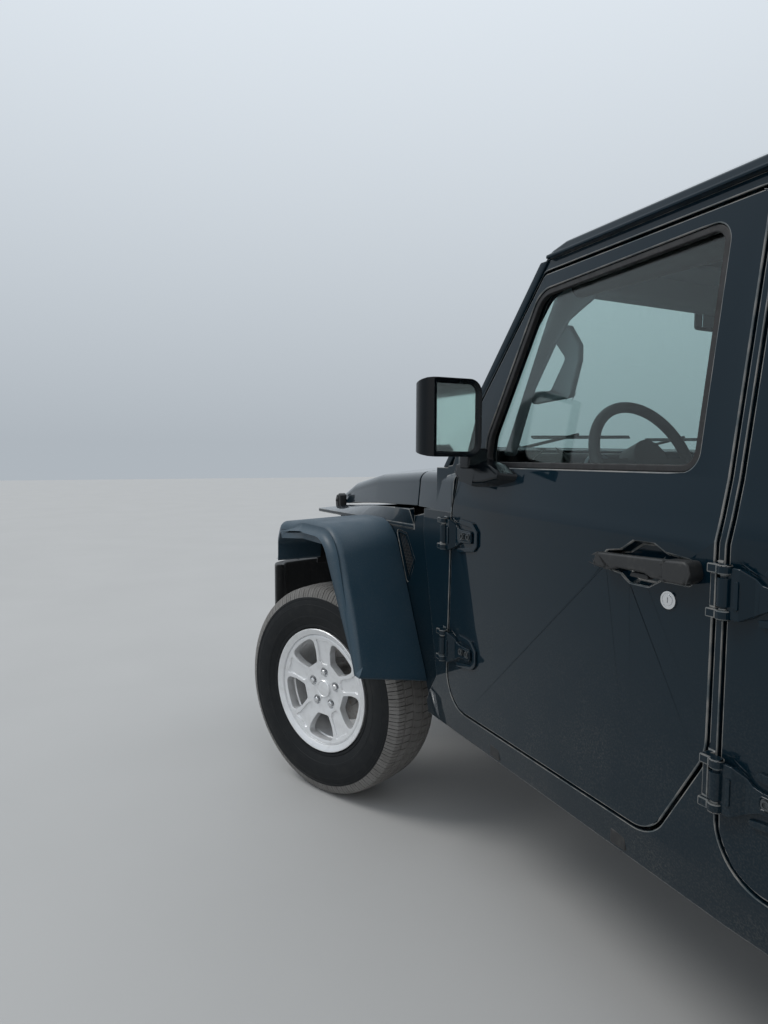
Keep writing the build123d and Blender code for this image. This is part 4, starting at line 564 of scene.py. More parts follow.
def faces_out(obj):
    """merge doubles and point every face outwards"""
    with editing(obj):
        bpy.ops.mesh.remove_doubles(threshold=0.00001)
        bpy.ops.mesh.normals_make_consistent(inside=False)
    return obj


def settle(obj):
    """put the object at the origin, with its place in its mesh"""
    only(obj)
    bpy.ops.object.transform_apply(location=True, rotation=True, scale=True)
    return obj


def coated(obj, finish):
    """give a piece this one finish"""
    obj.data.materials.clear()
    obj.data.materials.append(finish)


def own_copy(obj):
    """a copy with a mesh of its own"""
    piece = obj.copy()
    piece.data = obj.data.copy()
    bpy.context.scene.collection.objects.link(piece)
    return piece


def finished(obj, name, finish, body, angle=32, stands_for=()):
    """name a piece, smooth it, give it its finish and let it ride on its body"""
    settle(obj)
    obj.name = name
    rims = [face.index for face in obj.data.polygons if face.material_index == 1]
    coated(obj, finish)
    # The rounded edges of a painted piece keep the painted edge highlight.
    if finish is paint and rims:
        obj.data.materials.append(painted_edge_highlight)
        for index in rims:
            obj.data.polygons[index].material_index = 1
    smooth(obj, angle)
    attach(obj, body)
    if stands_for:
        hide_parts(*stands_for)
    print(name, "faces", len(obj.data.polygons))
    return obj


def body_of(node):
    return nodes[node]["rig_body"]


def node_copy(node):
    """a free copy of a node's mesh, its triangles merged back into flat faces"""
    obj = own_copy(nodes[node])
    obj.parent = None
    for key in list(obj.keys()):
        del obj[key]
    obj.name = node + ".piece"
    only(obj)
    bpy.ops.mesh.customdata_custom_splitnormals_clear()
    faces_out(obj)
    with editing(obj):
        bpy.ops.mesh.dissolve_limited(angle_limit=math.radians(0.2))
    return obj


# Painted panels rounded this finely or less get the painted edge highlight on their rounds.
EDGE_HIGHLIGHT_UP_TO = 0.003


def dressed(node, finish, width=0.003, segments=2, angle=30):
    """a node's copy with its edges rounded, standing for the node"""
    obj = node_copy(node)
    obj.data.materials.clear()
    # The small rounds of a painted panel carry the painted edge highlight.
    if width <= EDGE_HIGHLIGHT_UP_TO and finish is paint:
        highlight_edged(obj)
    flattened(rounded(obj, width, segments, angle))
    return finished(obj, node + ".piece", finish, body_of(node), stands_for=[node])


# %% [markdown]
# ## Panels that only need soft edges
# A pressed panel has rounded edges that catch the light, and a solid model has sharp ones. Each
# of these nodes is copied, its edges get a small bevel, and the copy stands for the node. Nodes
# whose sharp shape is right as it is, such as frame tubes and glass, only get their finish.

# %% Dressed panels
PANELS = (
    # node, finish, slot, round in metres
    ("body_sides", paint, "body_paint", 0.0025),
    ("hood", paint, "body_paint", 0.004),
    ("cowl", paint, "body_paint", 0.0025),
    ("front_fenders", paint, "body_paint", 0.003),
    ("windscreen_frame", paint, "body_paint", 0.005),
    ("roof_panels", paint, "body_paint", 0.004),
    ("hardtop", paint, "body_paint", 0.004),
    ("grille", paint, "body_paint", 0.004),
    ("swing_gate", paint, "body_paint", 0.004),
    ("front_bumper", black_plastic, "black_plastic", 0.012),
    ("rear_bumper", black_plastic, "black_plastic", 0.010),
    ("wheel_liners", black_plastic, "black_plastic", 0.003),
    ("frame", chassis, "chassis_steel", 0.004),
    ("engine", cast, "cast_iron", 0.012),
    ("fuel_tank", chassis, "chassis_steel", 0.015),
    ("floor_pan", floor_paint, "underbody_paint", 0.003),
    ("front_axle", chassis, "chassis_steel", 0.004),
    ("rear_axle", chassis, "chassis_steel", 0.004),
    ("tie_rod", chassis, "chassis_steel", 0.003),
    ("dashboard", cabin_plastic, "cabin_plastic", 0.012),
    ("console", cabin_plastic, "cabin_plastic", 0.010),
)
for node, finish, slot, width in PANELS:
    dressed(node, finish, width)

PLAIN = (
    (glass, ("windscreen_glass", "hardtop_glass", "glass_front_left", "glass_front_right",
             "glass_rear_left", "glass_rear_right")),
    (chassis, ("link_arms", "drive_shafts", "dampers", "coil_springs")),
    (exhaust_steel, ("exhaust",)),
    (cast, ("knuckle_left", "knuckle_right", "radiator")),
    (cabin_plastic, ("sport_bar", "steering_wheel", "rear_seat", "front_seats")),
    (clear_lens, ("lamps",)),
)
for finish, names in PLAIN:
    for name in names:
        coated(nodes[name], finish)
        only(nodes[name])
        bpy.ops.object.shade_smooth_by_angle(angle=math.radians(32))


# %% [markdown]
# ## Outlines on the body side
# Handles, hinges, seals and locks all lie on the door skin, which is upright up to a shoulder
# crease and leans in above the belt. One function gives a point on, or a little off, that skin.
# A piece starts as a circle primitive with one corner moved to each point of its outline, and is
# then extruded outwards.

# %% Outlines
CREASE_LOW = 1.137
CREASE_HIGH = 1.182
BELT_Z = 1.250
SKIN_INSETS = ((CREASE_LOW, 0.0), (CREASE_HIGH, 0.010), (BELT_Z, 0.022), (BELT_Z + 1, 0.122))


def skin(behind, z, out=0.0):
    """a point on the left body side, or so many metres off it"""
    inset = 0.0
    for (low, near), (high, far) in zip(SKIN_INSETS, SKIN_INSETS[1:]):
        if z > low:
            inset = near + (min(z, high) - low) / (high - low) * (far - near)
    return Vector((row_x(behind), side_y(behind) - inset + out, z))


def soft_outline(corners, steps=5):
    """points of a closed outline of (u, v, radius) corners, each corner drawn as an arc"""
    points = []
    count = len(corners)
    for i, (u, v, radius) in enumerate(corners):
        here = Vector((u, v))
        before = (Vector(corners[i - 1][:2]) - here).normalized()
        after = (Vector(corners[(i + 1) % count][:2]) - here).normalized()
        if radius == 0:
            points.append(here)
            continue
        half = before.angle(after) / 2
        centre = here + (before + after).normalized() * radius / math.sin(half)
        start = here + before * radius / math.tan(half) - centre
        end = here + after * radius / math.tan(half) - centre
        turn = math.atan2(start.cross(end), start.dot(end))
        for step in range(steps + 1):
            arm = start.copy()
            arm.rotate(Matrix.Rotation(turn * step / steps, 2))
            points.append(centre + arm)
    return points


def oblong(left, low, right, high, radius):
    """the corners of an upright rectangle, all with one radius"""
    corners = (left, low), (right, low), (right, high), (left, high)
    return [(*corner, radius) for corner in corners]


def flat_face(points):
    """one face: a circle primitive with a corner moved to each point"""
    bpy.ops.mesh.primitive_circle_add(vertices=len(points), fill_type="NGON")
    obj = bpy.context.object
    for vertex, point in zip(obj.data.vertices, points):
        vertex.co = point
    return obj


def extruded(obj, move):
    """pull the whole face along a vector, into a closed block"""
    with editing(obj):
        bpy.ops.mesh.extrude_region_move(TRANSFORM_OT_translate={"value": move})
    return faces_out(obj)


def on_skin(corners, low, high, steps=5, place=(0, 0)):
    """a block on the left body side, from one height off the skin to another"""
    points = [skin(u + place[0], v + place[1], low) for u, v in soft_outline(corners, steps)]
    return extruded(flat_face(points), (0, high - low, 0))


def merged(parts):
    """several objects made one"""
    bpy.ops.object.select_all(action="DESELECT")
    for part in parts:
        part.select_set(True)
    bpy.context.view_layer.objects.active = parts[0]
    bpy.ops.object.join()
    return parts[0]


def peg(start, end, radius, vertices=24):
    """a plain round peg between two points, to be shaped or rounded further"""
    start, end = Vector(start), Vector(end)
    run = end - start
    bpy.ops.mesh.primitive_cylinder_add(vertices=vertices, radius=radius, depth=run.length,
                                        location=(start + end) / 2)
    obj = bpy.context.object
    obj.rotation_euler = run.to_track_quat("Z", "Y").to_euler()
    return settle(obj)


def brick(low, high):
    """a cube primitive scaled to a box, to be shaped further"""
    low, high = Vector(low), Vector(high)
    bpy.ops.mesh.primitive_cube_add(size=1, location=(low + high) / 2)
    obj = bpy.context.object
    obj.scale = high - low
    return settle(obj)


def twin_of(obj):
    """the same piece mirrored to the other side of the vehicle"""
    settle(obj)
    twin = own_copy(obj)
    twin.scale.y = -1
    settle(twin)
    return faces_out(twin)


def to_side(obj, side):
    """a left piece as it is, or its mirrored twin in its stead for the right side"""
    if side == "left":
        return obj
    twin = twin_of(obj)
    bpy.data.objects.remove(obj)
    return twin


def both_sides(obj, name, finish, body="root", angle=32):
    """finish a left piece and its mirrored twin; SIDE in the body's name is each side's word"""
    pair = ((obj, "left"), (twin_of(obj), "right"))
    return [finished(piece, f"{name}_{side}", finish, body.replace("SIDE", side), angle)
            for piece, side in pair]


def hollowed(obj, tool):
    """remove one closed shape from another"""
    modified(obj, "BOOLEAN", operation="DIFFERENCE", object=tool, solver="EXACT")
    bpy.data.objects.remove(tool)
    return obj


# %% [markdown]
# ## Doors
# A door of this kind is one pressed shell: flat below, with a crease under the belt line, and a
# window frame above. Its pull handle stands over a six-sided pocket that lets fingers in from
# above and below. The solid door carries plain straps and a plain grip, so its copy is shaved back
# to the bare skin first, the pocket is cut with a boolean, and the edges are rounded.

# %% Doors
SHAVE = 0.0002
SLIVER = 0.0006
SLAB_REACH = 0.1
SLAB_LOW = 0.45
SLAB_HIGH = 1.60
HANDLE_Z = 1.070
HANDLE_PLACES = {"front": 1.534, "rear": 2.420}
POCKET_DEPTH = 0.026
POCKET = [                 # along the door and up from the handle's middle, corner radius
    (-0.134, -0.018, 0.008), (-0.081, -0.024, 0.010), (-0.055, -0.042, 0.012),
    (0.000, -0.042, 0.012), (0.034, -0.022, 0.012), (0.112, -0.021, 0.008),
    (0.116, 0.030, 0.010), (0.042, 0.037, 0.012), (0.007, 0.054, 0.014),
    (-0.044, 0.054, 0.014), (-0.086, 0.027, 0.012), (-0.132, 0.020, 0.008),
]


def door_piece(end, side):
    node = f"door_{end}_{side}"
    obj = node_copy(node)
    first, last = SIDE_STATIONS[:2] if end == "front" else SIDE_STATIONS[1:3]

    def off_plane(behind, z):
        share = (behind - first[0]) / (last[0] - first[0])
        return Vector((row_x(behind), first[1] + share * (last[1] - first[1]) - SHAVE, z))

    front_edge, rear_edge = first[0] - SLAB_REACH, last[0] + SLAB_REACH
    slab = extruded(flat_face([off_plane(front_edge, SLAB_LOW), off_plane(rear_edge, SLAB_LOW),
                               off_plane(rear_edge, SLAB_HIGH), off_plane(front_edge, SLAB_HIGH)]),
                    (0, SLAB_REACH, 0))
    hollowed(obj, to_side(slab, side))
    with editing(obj):
        bpy.ops.mesh.dissolve_degenerate(threshold=SLIVER)
        bpy.ops.mesh.dissolve_limited(angle_limit=math.radians(0.5))
    handle = HANDLE_PLACES[end]
    pocket = on_skin(POCKET, -POCKET_DEPTH, 0.02, 4, (handle, HANDLE_Z))
    with editing(pocket):
        floor_y = side_y(handle) - POCKET_DEPTH + 0.012
        pick(pocket, faces=lambda f: f.normal.y < -0.9 and f.calc_center_median().y < floor_y)
        bpy.ops.transform.resize(value=(0.86, 1, 0.80), center_override=skin(handle, HANDLE_Z))
    hollowed(obj, to_side(pocket, side))
    obj.data.materials.clear()
    # The door's rounded edges carry the painted edge highlight.
    flattened(rounded(highlight_edged(obj), 0.0032, 3, 28))
    return finished(obj, node + ".piece", paint, node, 40, stands_for=[node])


for end in ("front", "rear"):
    for side in ("left", "right"):
        door_piece(end, side)


# %% [markdown]
# ## Door handles and locks
# The pull is a thick bar with a flat top. It widens rearwards into the housing of the push button,
# which stands on the skin. The bar's front end is a slim foot. The front doors carry a bright
# lock cylinder just below.

# %% Handles and locks
GRIP = [(-0.124, -0.006, 0.007), (-0.118, 0.019, 0.005), (0.060, 0.027, 0.004),
        (0.126, 0.031, 0.012), (0.133, 0.000, 0.014), (0.116, -0.013, 0.010),
        (0.040, -0.013, 0.010), (0.020, -0.006, 0.008), (-0.050, -0.006, 0.010),
        (-0.070, -0.013, 0.008), (-0.110, -0.012, 0.008)]
BUTTON_FRONT = 0.066
GRIP_LOW = 0.018
GRIP_HIGH = 0.037
LOCK_PLACE = (1.589, 1.015)
LOCK_RADIUS = 0.0175

for end, place in HANDLE_PLACES.items():
    centre = (place, HANDLE_Z)
    bar = on_skin(GRIP, GRIP_LOW, GRIP_HIGH, 5, centre)
    rounded(bar, 0.005, 4)
    housing = on_skin([(BUTTON_FRONT, -0.014, 0.004), (BUTTON_FRONT, 0.027, 0.004),
                       (0.126, 0.031, 0.012), (0.134, 0.000, 0.014), (0.118, -0.014, 0.010)],
                      -0.004, GRIP_HIGH + 0.002, 5, centre)
    rounded(housing, 0.006, 4)
    foot = on_skin([(-0.120, -0.008, 0.004), (-0.120, 0.016, 0.004), (-0.088, 0.016, 0.004),
                    (-0.096, -0.008, 0.004)], -POCKET_DEPTH, GRIP_LOW + 0.006, 3, centre)
    rounded(foot, 0.002)
    ledge = on_skin([(-0.030, -0.020, 0.003), (-0.022, -0.010, 0.003), (0.018, -0.010, 0.003),
                     (0.026, -0.020, 0.003)], GRIP_LOW - 0.010, GRIP_HIGH - 0.012, 3, centre)
    rounded(ledge, 0.002)
    handle = merged([bar, housing, foot, ledge])
    both_sides(handle, f"handle_{end}", black_plastic, f"door_{end}_SIDE")

lock_face = skin(*LOCK_PLACE)
cylinder = peg(lock_face - Vector((0, 0.004, 0)), lock_face + Vector((0, 0.0045, 0)), LOCK_RADIUS, 40)
with editing(cylinder):
    pick(cylinder, faces=lambda f: f.normal.y > 0.9)
    bpy.ops.mesh.inset(thickness=0.004)
    bpy.ops.mesh.extrude_region_move(TRANSFORM_OT_translate={"value": (0, -0.0014, 0)})
    bpy.ops.mesh.inset(thickness=0.003)
    bpy.ops.mesh.extrude_region_move(TRANSFORM_OT_translate={"value": (0, 0.002, 0)})
slot_cut = brick(lock_face + Vector((-0.001, 0.002, -0.0055)), lock_face + Vector((0.001, 0.01, 0.0055)))
hollowed(cylinder, slot_cut)
rounded(cylinder, 0.0006, 2)
both_sides(cylinder, "door_lock", chrome, "door_front_SIDE")


# %% [markdown]
# ## Door hinges
# The hinges are bolted on outside and are the vehicle's most telling detail. Each strap is tall
# at its barrel, sweeps down in an S to a narrow tail with two bolts, and bends from the barrel
# down to the skin. A raised frame in the door skin runs round the tail. The barrel is a plain
# round peg with a slot rib beside it.

# %% Door hinges
PINS = {"front": 0.730, "rear": 1.726}
HINGE_HEIGHTS = (0.714, 1.057)
PIN_OUT = 0.020
BARREL_RADIUS = 0.0125
BARREL_HALF = 0.0248
STRAP = [(0.006, -0.046, 0.003), (0.006, 0.044, 0.003), (0.032, 0.043, 0.010),
         (0.062, 0.020, 0.014), (0.078, 0.017, 0.008), (0.136, 0.017, 0.010),
         (0.138, -0.018, 0.010), (0.076, -0.021, 0.010), (0.058, -0.030, 0.012),
         (0.030, -0.047, 0.008)]
STRAP_THICK = 0.008
BEND_START = 0.030
BEND_END = 0.050
BEND_OUT = 0.013
FRAME = [(0.058, 0.034, 0.004), (0.070, 0.048, 0.006), (0.140, 0.043, 0.014),
         (0.166, 0.020, 0.010), (0.166, -0.022, 0.010), (0.146, -0.040, 0.014),
         (0.060, -0.052, 0.006), (0.052, -0.040, 0.004), (0.134, -0.028, 0.008),
         (0.150, -0.016, 0.006), (0.150, 0.014, 0.006), (0.132, 0.028, 0.008)]
BOLTS = (0.088, 0.122)


def bolt_head(centre, outward, radius, height, flange=1.35):
    """a flanged bolt with a round socket, its underside at the centre"""
    base, out = Vector(centre), Vector(outward).normalized()
    head = peg(base - out * 0.002, base + out * height, radius, 24)
    with editing(head):
        top = height * 0.9
        pick(head, faces=lambda f: f.normal.dot(out) > 0.9
             and (f.calc_center_median() - base).dot(out) > top)
        bpy.ops.mesh.inset(thickness=radius * 0.36)
        bpy.ops.mesh.extrude_region_move(TRANSFORM_OT_translate={"value": -out * height * 0.6})
    washer = peg(base - out * 0.002, base + out * height * 0.28, radius * flange, 28)
    bolt = merged([head, washer])
    return rounded(bolt, radius * 0.07, 2)


def hinge_strap(pin, z):
    place = (pin, z)
    strap = on_skin(STRAP, 0.0002, STRAP_THICK, 5, place)
    with editing(strap):
        for at in (BEND_START, BEND_END):
            bpy.ops.mesh.select_all(action="SELECT")
            bpy.ops.mesh.bisect(plane_co=(row_x(pin + at), 0, 0), plane_no=(1, 0, 0))
        pick(strap, verts=lambda v: v.co.x > row_x(pin + BEND_START) - 0.0005)
        bpy.ops.transform.translate(value=(0, BEND_OUT, 0))
    # The strap's rounded edges carry the painted edge highlight.
    rounded(highlight_edged(strap), 0.0018, 3)
    rib = on_skin([(0.021, -0.028, 0.004), (0.021, 0.022, 0.004), (0.030, 0.022, 0.004),
                   (0.030, -0.028, 0.004)], STRAP_THICK + BEND_OUT - 0.003,
                  STRAP_THICK + BEND_OUT + 0.0035, 4, place)
    rounded(rib, 0.0015, 2)
    centre = skin(pin, z, PIN_OUT)
    barrel = peg(centre - Vector((0, 0, BARREL_HALF)), centre + Vector((0, 0, BARREL_HALF)),
                 BARREL_RADIUS, 32)
    # The barrel's rounds carry the painted edge highlight too.
    rounded(highlight_edged(barrel), 0.0012, 2)
    seat = on_skin([(0.074, -0.014, 0.004), (0.074, 0.012, 0.004), (0.134, 0.012, 0.004),
                    (0.134, -0.014, 0.004)], STRAP_THICK - 0.001, STRAP_THICK + 0.0016, 3, place)
    hollow = on_skin([(0.077, -0.011, 0.003), (0.077, 0.009, 0.003), (0.131, 0.009, 0.003),
                      (0.131, -0.011, 0.003)], STRAP_THICK, STRAP_THICK + 0.01, 3, place)
    hollowed(seat, hollow)
    rounded(seat, 0.0008, 1)
    frame_ring = on_skin(FRAME, -0.001, 0.0065, 5, place)
    # So do the frame ring's rounds.
    rounded(highlight_edged(frame_ring), 0.0020, 2)
    return merged([strap, rib, barrel, seat, frame_ring])


def hinge_bolts(pin, z):
    return merged([bolt_head(skin(pin + at, z, STRAP_THICK - 0.001), (0, 1, 0), 0.0085, 0.006)
                   for at in BOLTS])


for end, pin in PINS.items():
    straps = merged([hinge_strap(pin, z) for z in HINGE_HEIGHTS])
    both_sides(straps, f"hinge_straps_{end}", paint, f"door_{end}_SIDE")
    bolts = merged([hinge_bolts(pin, z) for z in HINGE_HEIGHTS])
    both_sides(bolts, f"hinge_bolts_{end}", bolt_steel, f"door_{end}_SIDE")


# %% [markdown]
# ## Window seals
# A black rubber seal runs round each pane, between the glass and the painted frame. It is a
# ring: the window's outline is inset and the face inside it removed, the ring is extruded to its
# thickness, and a bevel modifier rounds its edges.

# %% Window seals
FRONT_WINDOW = [(0.878, 1.259, 0.034), (0.884, 1.345, 0.090), (1.066, 1.711, 0.070),
                (1.643, 1.724, 0.042), (1.622, 1.259, 0.042)]
REAR_WINDOW = [(1.792, 1.262, 0.042), (1.806, 1.722, 0.042), (2.538, 1.722, 0.042),
               (2.538, 1.262, 0.042)]
QUARTER_WINDOW = [(2.700, 1.300, 0.050), (2.700, 1.708, 0.050), (3.590, 1.708, 0.050),
                  (3.610, 1.300, 0.050)]
SEAL_DEPTH = 0.004
SEAL_THICK = 0.016


def seal_ring(points, width, thick):
    """a ring of rubber along an outline, so wide and so thick"""
    ring = flat_face(points)
    with editing(ring):
        bpy.ops.mesh.inset(thickness=width)
        bpy.ops.mesh.delete(type="FACE")
    return extruded(ring, thick)


for name, outline, body, width in (
        ("seal_front", FRONT_WINDOW, "door_front_SIDE", 0.015),
        ("seal_rear", REAR_WINDOW, "door_rear_SIDE", 0.015),
        ("seal_quarter", QUARTER_WINDOW, "root", 0.018)):
    points = [skin(u, v, -SEAL_DEPTH - SEAL_THICK) for u, v in soft_outline(outline, 8)]
    ring = seal_ring(points, width, Vector((0, SEAL_THICK, 0)))
    rounded(ring, 0.003, 3, 50)
    both_sides(ring, name, seal_rubber, body)


# %% [markdown]
# ## Door mirrors
# The mirror head is a deep rounded box on a short neck, with a black triangular foot on the door's
# front corner. Its rear face is a bezel round a slightly sunken glass, and the upright edges of its
# outer side are broadly rounded.

# %% Mirrors
HEAD_LOW = (row_x(0.934), 0.749, 1.287)
HEAD_HIGH = (row_x(0.842), 0.931, 1.497)
FOOT = [(0.765, 1.226, 0.010), (0.750, 1.268, 0.012), (0.860, 1.290, 0.020),
        (0.985, 1.268, 0.012), (1.062, 1.240, 0.008), (1.050, 1.222, 0.010),
        (0.965, 1.206, 0.020), (0.850, 1.199, 0.020)]

head = brick(HEAD_LOW, HEAD_HIGH)
with editing(head):
    pick(head, faces=lambda f: f.normal.x > 0.9)
    bpy.ops.transform.resize(value=(1, 0.86, 0.84), center_override=(HEAD_HIGH[0], 0.835, 1.392))
    pick(head, edges=lambda e: all(v.co.y > 0.9 for v in e.verts)
         and abs(e.verts[0].co.z - e.verts[1].co.z) > 0.1)
    bpy.ops.mesh.bevel(offset=0.040, segments=5, affect="EDGES")
    pick(head, edges=lambda e: abs(e.verts[0].co.x - e.verts[1].co.x) > 0.02)
    bpy.ops.mesh.bevel(offset=0.038, segments=7, affect="EDGES")
    pick(head, faces=lambda f: f.normal.x < -0.95)
    bpy.ops.mesh.inset(thickness=0.006)
    bpy.ops.mesh.extrude_region_move(TRANSFORM_OT_translate={"value": (0.002, 0, 0)})
    bpy.ops.mesh.inset(thickness=0.006)
    bpy.ops.mesh.extrude_region_move(TRANSFORM_OT_translate={"value": (0.009, 0, 0)})
    bpy.ops.mesh.inset(thickness=0.001)
    bpy.ops.mesh.separate(type="SELECTED")
pane = [o for o in bpy.context.selected_objects if o is not head][0]
rounded(head, 0.003, 3, 35)
neck = on_skin([(0.866, 1.255, 0.01), (0.862, 1.312, 0.01), (0.914, 1.312, 0.01),
                (0.918, 1.255, 0.01)], 0.012, 0.075, 4)
rounded(neck, 0.006, 3)
foot = on_skin(FOOT, -0.010, 0.040, 6)
with editing(foot):
    pick(foot, faces=lambda f: f.normal.y > 0.9)
    bpy.ops.transform.resize(value=(0.78, 1, 0.74), center_override=(row_x(0.888), 0.77, 1.255))
rounded(foot, 0.007, 4)
mirror = merged([head, neck, foot])
pair = both_sides(mirror, "mirror_housing", gloss_black, "door_front_SIDE")
for piece, side in zip(pair, ("left", "right")):
    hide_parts(f"mirror_{side}")
solid = modified(pane, "SOLIDIFY", thickness=0.002, offset=-1)
both_sides(solid, "mirror_pane", mirror_glass, "door_front_SIDE")


# %% [markdown]
# ## Front and rear flares
# The flares stand far out over the wheels. Their outer edge is a broad soft shoulder that turns
# the sky's light gradually into shade, and a fine groove follows the lip round the arch. The copy
# of the solid flare first has that groove cut by a boolean. Then its outer edge alone gets a wide
# bevel, found by which way its faces look, and last a narrow bevel softens all that is still sharp.

# %% Flares
SHOULDER_ROUND = 0.030
GROOVE_DEEP = 0.0025
LIP_GROOVES = {            # behind the wheel's axle, height, corner radius, on the lip's flat face
    "front": [(0.521, 0.588, 0.0), (0.322, 1.010, 0.120), (0.060, 1.010, 0.300),
              (-0.241, 0.981, 0.300), (-0.415, 0.917, 0.040), (-0.423, 0.828, 0.0),
              (-0.428, 0.828, 0.0), (-0.420, 0.922, 0.044), (-0.241, 0.986, 0.300),
              (0.060, 1.015, 0.300), (0.326, 1.015, 0.124), (0.526, 0.591, 0.0)],
    "rear": [(0.482, 0.640, 0.0), (0.342, 0.952, 0.104), (-0.363, 0.952, 0.084),
             (-0.520, 0.595, 0.0), (-0.525, 0.597, 0.0), (-0.366, 0.957, 0.088),
             (0.345, 0.957, 0.108), (0.487, 0.642, 0.0)],
}
LIP_FACE_Y = 0.9375
FLARE_TIP = 0.64


def outward_of_wheel(edge):
    """whether an edge of the flare's outer face is on the side away from its wheel"""
    spot = (edge.verts[0].co + edge.verts[1].co) / 2
    if spot.z < FLARE_TIP:
        return False
    axle = FRONT_AXLE if spot.x > 0 else REAR_AXLE
    away = Vector((spot.x - axle, 0, spot.z - AXLE_Z)).normalized()
    return any(abs(f.normal.y) < 0.55 and f.normal.dot(away) > 0.15 for f in edge.link_faces)


def is_outer_edge(edge):
    outer = [abs(f.normal.y) > 0.62 and abs(f.calc_center_median().y) > 0.8 for f in edge.link_faces]
    return len(outer) == 2 and outer[0] != outer[1]


flares = node_copy("fender_flares")
FLARE_LOW = {"front": min(v.co.z for v in flares.data.vertices if v.co.x > 0),
             "rear": min(v.co.z for v in flares.data.vertices if v.co.x < 0)}
for end, outline in LIP_GROOVES.items():
    axle_row = 0.0 if end == "front" else FRONT_AXLE - REAR_AXLE
    points = [Vector((row_x(u + axle_row), LIP_FACE_Y - GROOVE_DEEP, v))
              for u, v in soft_outline(outline, 6)]
    groove = extruded(flat_face(points), (0, 0.02, 0))
    hollowed(flares, twin_of(groove))
    hollowed(flares, groove)
triangulated(flares)
with editing(flares):
    found = pick(flares, edges=lambda e: is_outer_edge(e) and outward_of_wheel(e))
    bpy.ops.mesh.bevel(offset=SHOULDER_ROUND, segments=7, affect="EDGES", clamp_overlap=False)
print("shoulder edges", found)
for vertex in flares.data.vertices:            # the wide bevel throws a few points past the ends
    floor_z = FLARE_LOW["front" if vertex.co.x > 0 else "rear"]
    vertex.co.z = max(vertex.co.z, floor_z)
rounded(flares, 0.0012, 2, 40)
finished(flares, "flares", flare_plastic, "root", 40, stands_for=["fender_flares"])


# %% [markdown]
# ## Turned parts and wheel places
# Rims, tyres, lamps and dials are turned parts. One helper spins a closed section round the Y
# axis, which keeps every ring true, where a cylinder would need each ring scaled by hand. A wheel
# is made once at the origin with its axle along Y and its outer face towards +Y, and each copy is
# put in place by a matrix read from the frame's joints, with the angle in which it stands.

# %% Lathe and wheel places
WHEELS = {}
for end in ("front", "rear"):
    for side in ("left", "right"):
        joint = [j for j in frame["joints"] if j["name"] == f"spin_{end}_{side}"][0]
        axis = joint["axis"]
        turn = Matrix.Rotation(math.atan2(-axis[0], axis[1]), 4, "Z")
        mirror = Matrix.Scale(1 if side == "left" else -1, 4, (0, 1, 0))
        place = Matrix.Translation(joint["pos_m"]) @ turn @ mirror
        WHEELS[f"{end}_{side}"] = (f"wheel_{end}_{side}", place)
spare_low, spare_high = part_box("spare_rim")
SPARE_PLACE = Matrix.Translation((spare_low + spare_high) / 2) @ Matrix.Rotation(TAU / 4, 4, "Z")


def lathe(profile, steps=72):
    """a closed outline of (y, radius) points turned round the Y axis"""
    obj = flat_face([Vector((0, y, radius)) for y, radius in profile])
    with editing(obj):
        bpy.ops.mesh.delete(type="ONLY_FACE")
        bpy.ops.mesh.select_all(action="SELECT")
        bpy.ops.mesh.spin(steps=steps, angle=TAU, center=(0, 0, 0), axis=(0, 1, 0))
    return faces_out(obj)


def placed_copy(obj, name, finish, body, place, angle=32):
    """a copy of a finished piece, put elsewhere by a matrix"""
    piece = own_copy(obj)
    piece.matrix_world = place
    settle(piece)
    faces_out(piece)
    return finished(piece, name, finish, body, angle)


# %% [markdown]
# ## Rims, nuts and brake discs
# The rim has five broad spokes. Each has a sunken face between two raised edges, sloping flanks
# towards the windows, and a chrome nut in a round well near the hub. The whole section is spun
# first, and windows, recesses and wells are cut with booleans whose tools taper towards the back.
# Cutting keeps the ring whole, where five spokes made apart would leave seams.

# %% Rims, nuts and brake discs
SPOKES = 5
FIRST_SPOKE = math.radians(269)
LUG_CIRCLE = 0.0635
HUB_FACE = (0.079, 0.080)          # y and radius where the spoke faces start
LIP_FACE = (0.0935, 0.198)         # and where they end
BARREL = [(-0.1075, 0.2352), (-0.0990, 0.2352), (-0.0950, 0.2310), (-0.0950, 0.2160), (-0.0700, 0.2160),
          (-0.0520, 0.2030), (0.0520, 0.2030), (0.0700, 0.2160), (0.0950, 0.2160),
          (0.0950, 0.2310), (0.0985, 0.2352), (0.1060, 0.2352), (0.1075, 0.2335), (0.1072, 0.2290),
          (0.1035, 0.2240), (0.1010, 0.2160), (0.0985, 0.2125), (0.0900, 0.2095), (0.0740, 0.2085),
          (0.0715, 0.2045), (0.0480, 0.2030), (0.0440, 0.1985), (0.0200, 0.1965), (-0.0600, 0.1955),
          (-0.0950, 0.2070), (-0.1075, 0.2140)]
SPIDER = [(0.040, 0.0), (0.040, 0.072), (0.056, 0.120), (0.066, 0.200), (0.070, 0.2105),
          (0.0925, 0.2105), (0.0955, 0.2040), LIP_FACE, HUB_FACE, (0.0775, 0.066), (0.0775, 0.0)]
WINDOW = [(0.104, -0.026, 0.012), (0.140, -0.050, 0.022), (0.182, -0.065, 0.018), (0.193, 0.0, 0.23),
          (0.182, 0.065, 0.018), (0.140, 0.050, 0.022), (0.104, 0.026, 0.012)]
RECESS = [(0.096, -0.013, 0.006), (0.108, -0.023, 0.010), (0.150, -0.0245, 0.03), (0.176, -0.027, 0.01),
          (0.192, -0.046, 0.006), (0.186, 0.0, 0.02), (0.192, 0.046, 0.006), (0.176, 0.027, 0.01),
          (0.150, 0.0245, 0.03), (0.108, 0.023, 0.010), (0.096, 0.013, 0.006)]
RECESS_DEPTH = 0.006
WELL_RADIUS = 0.0175


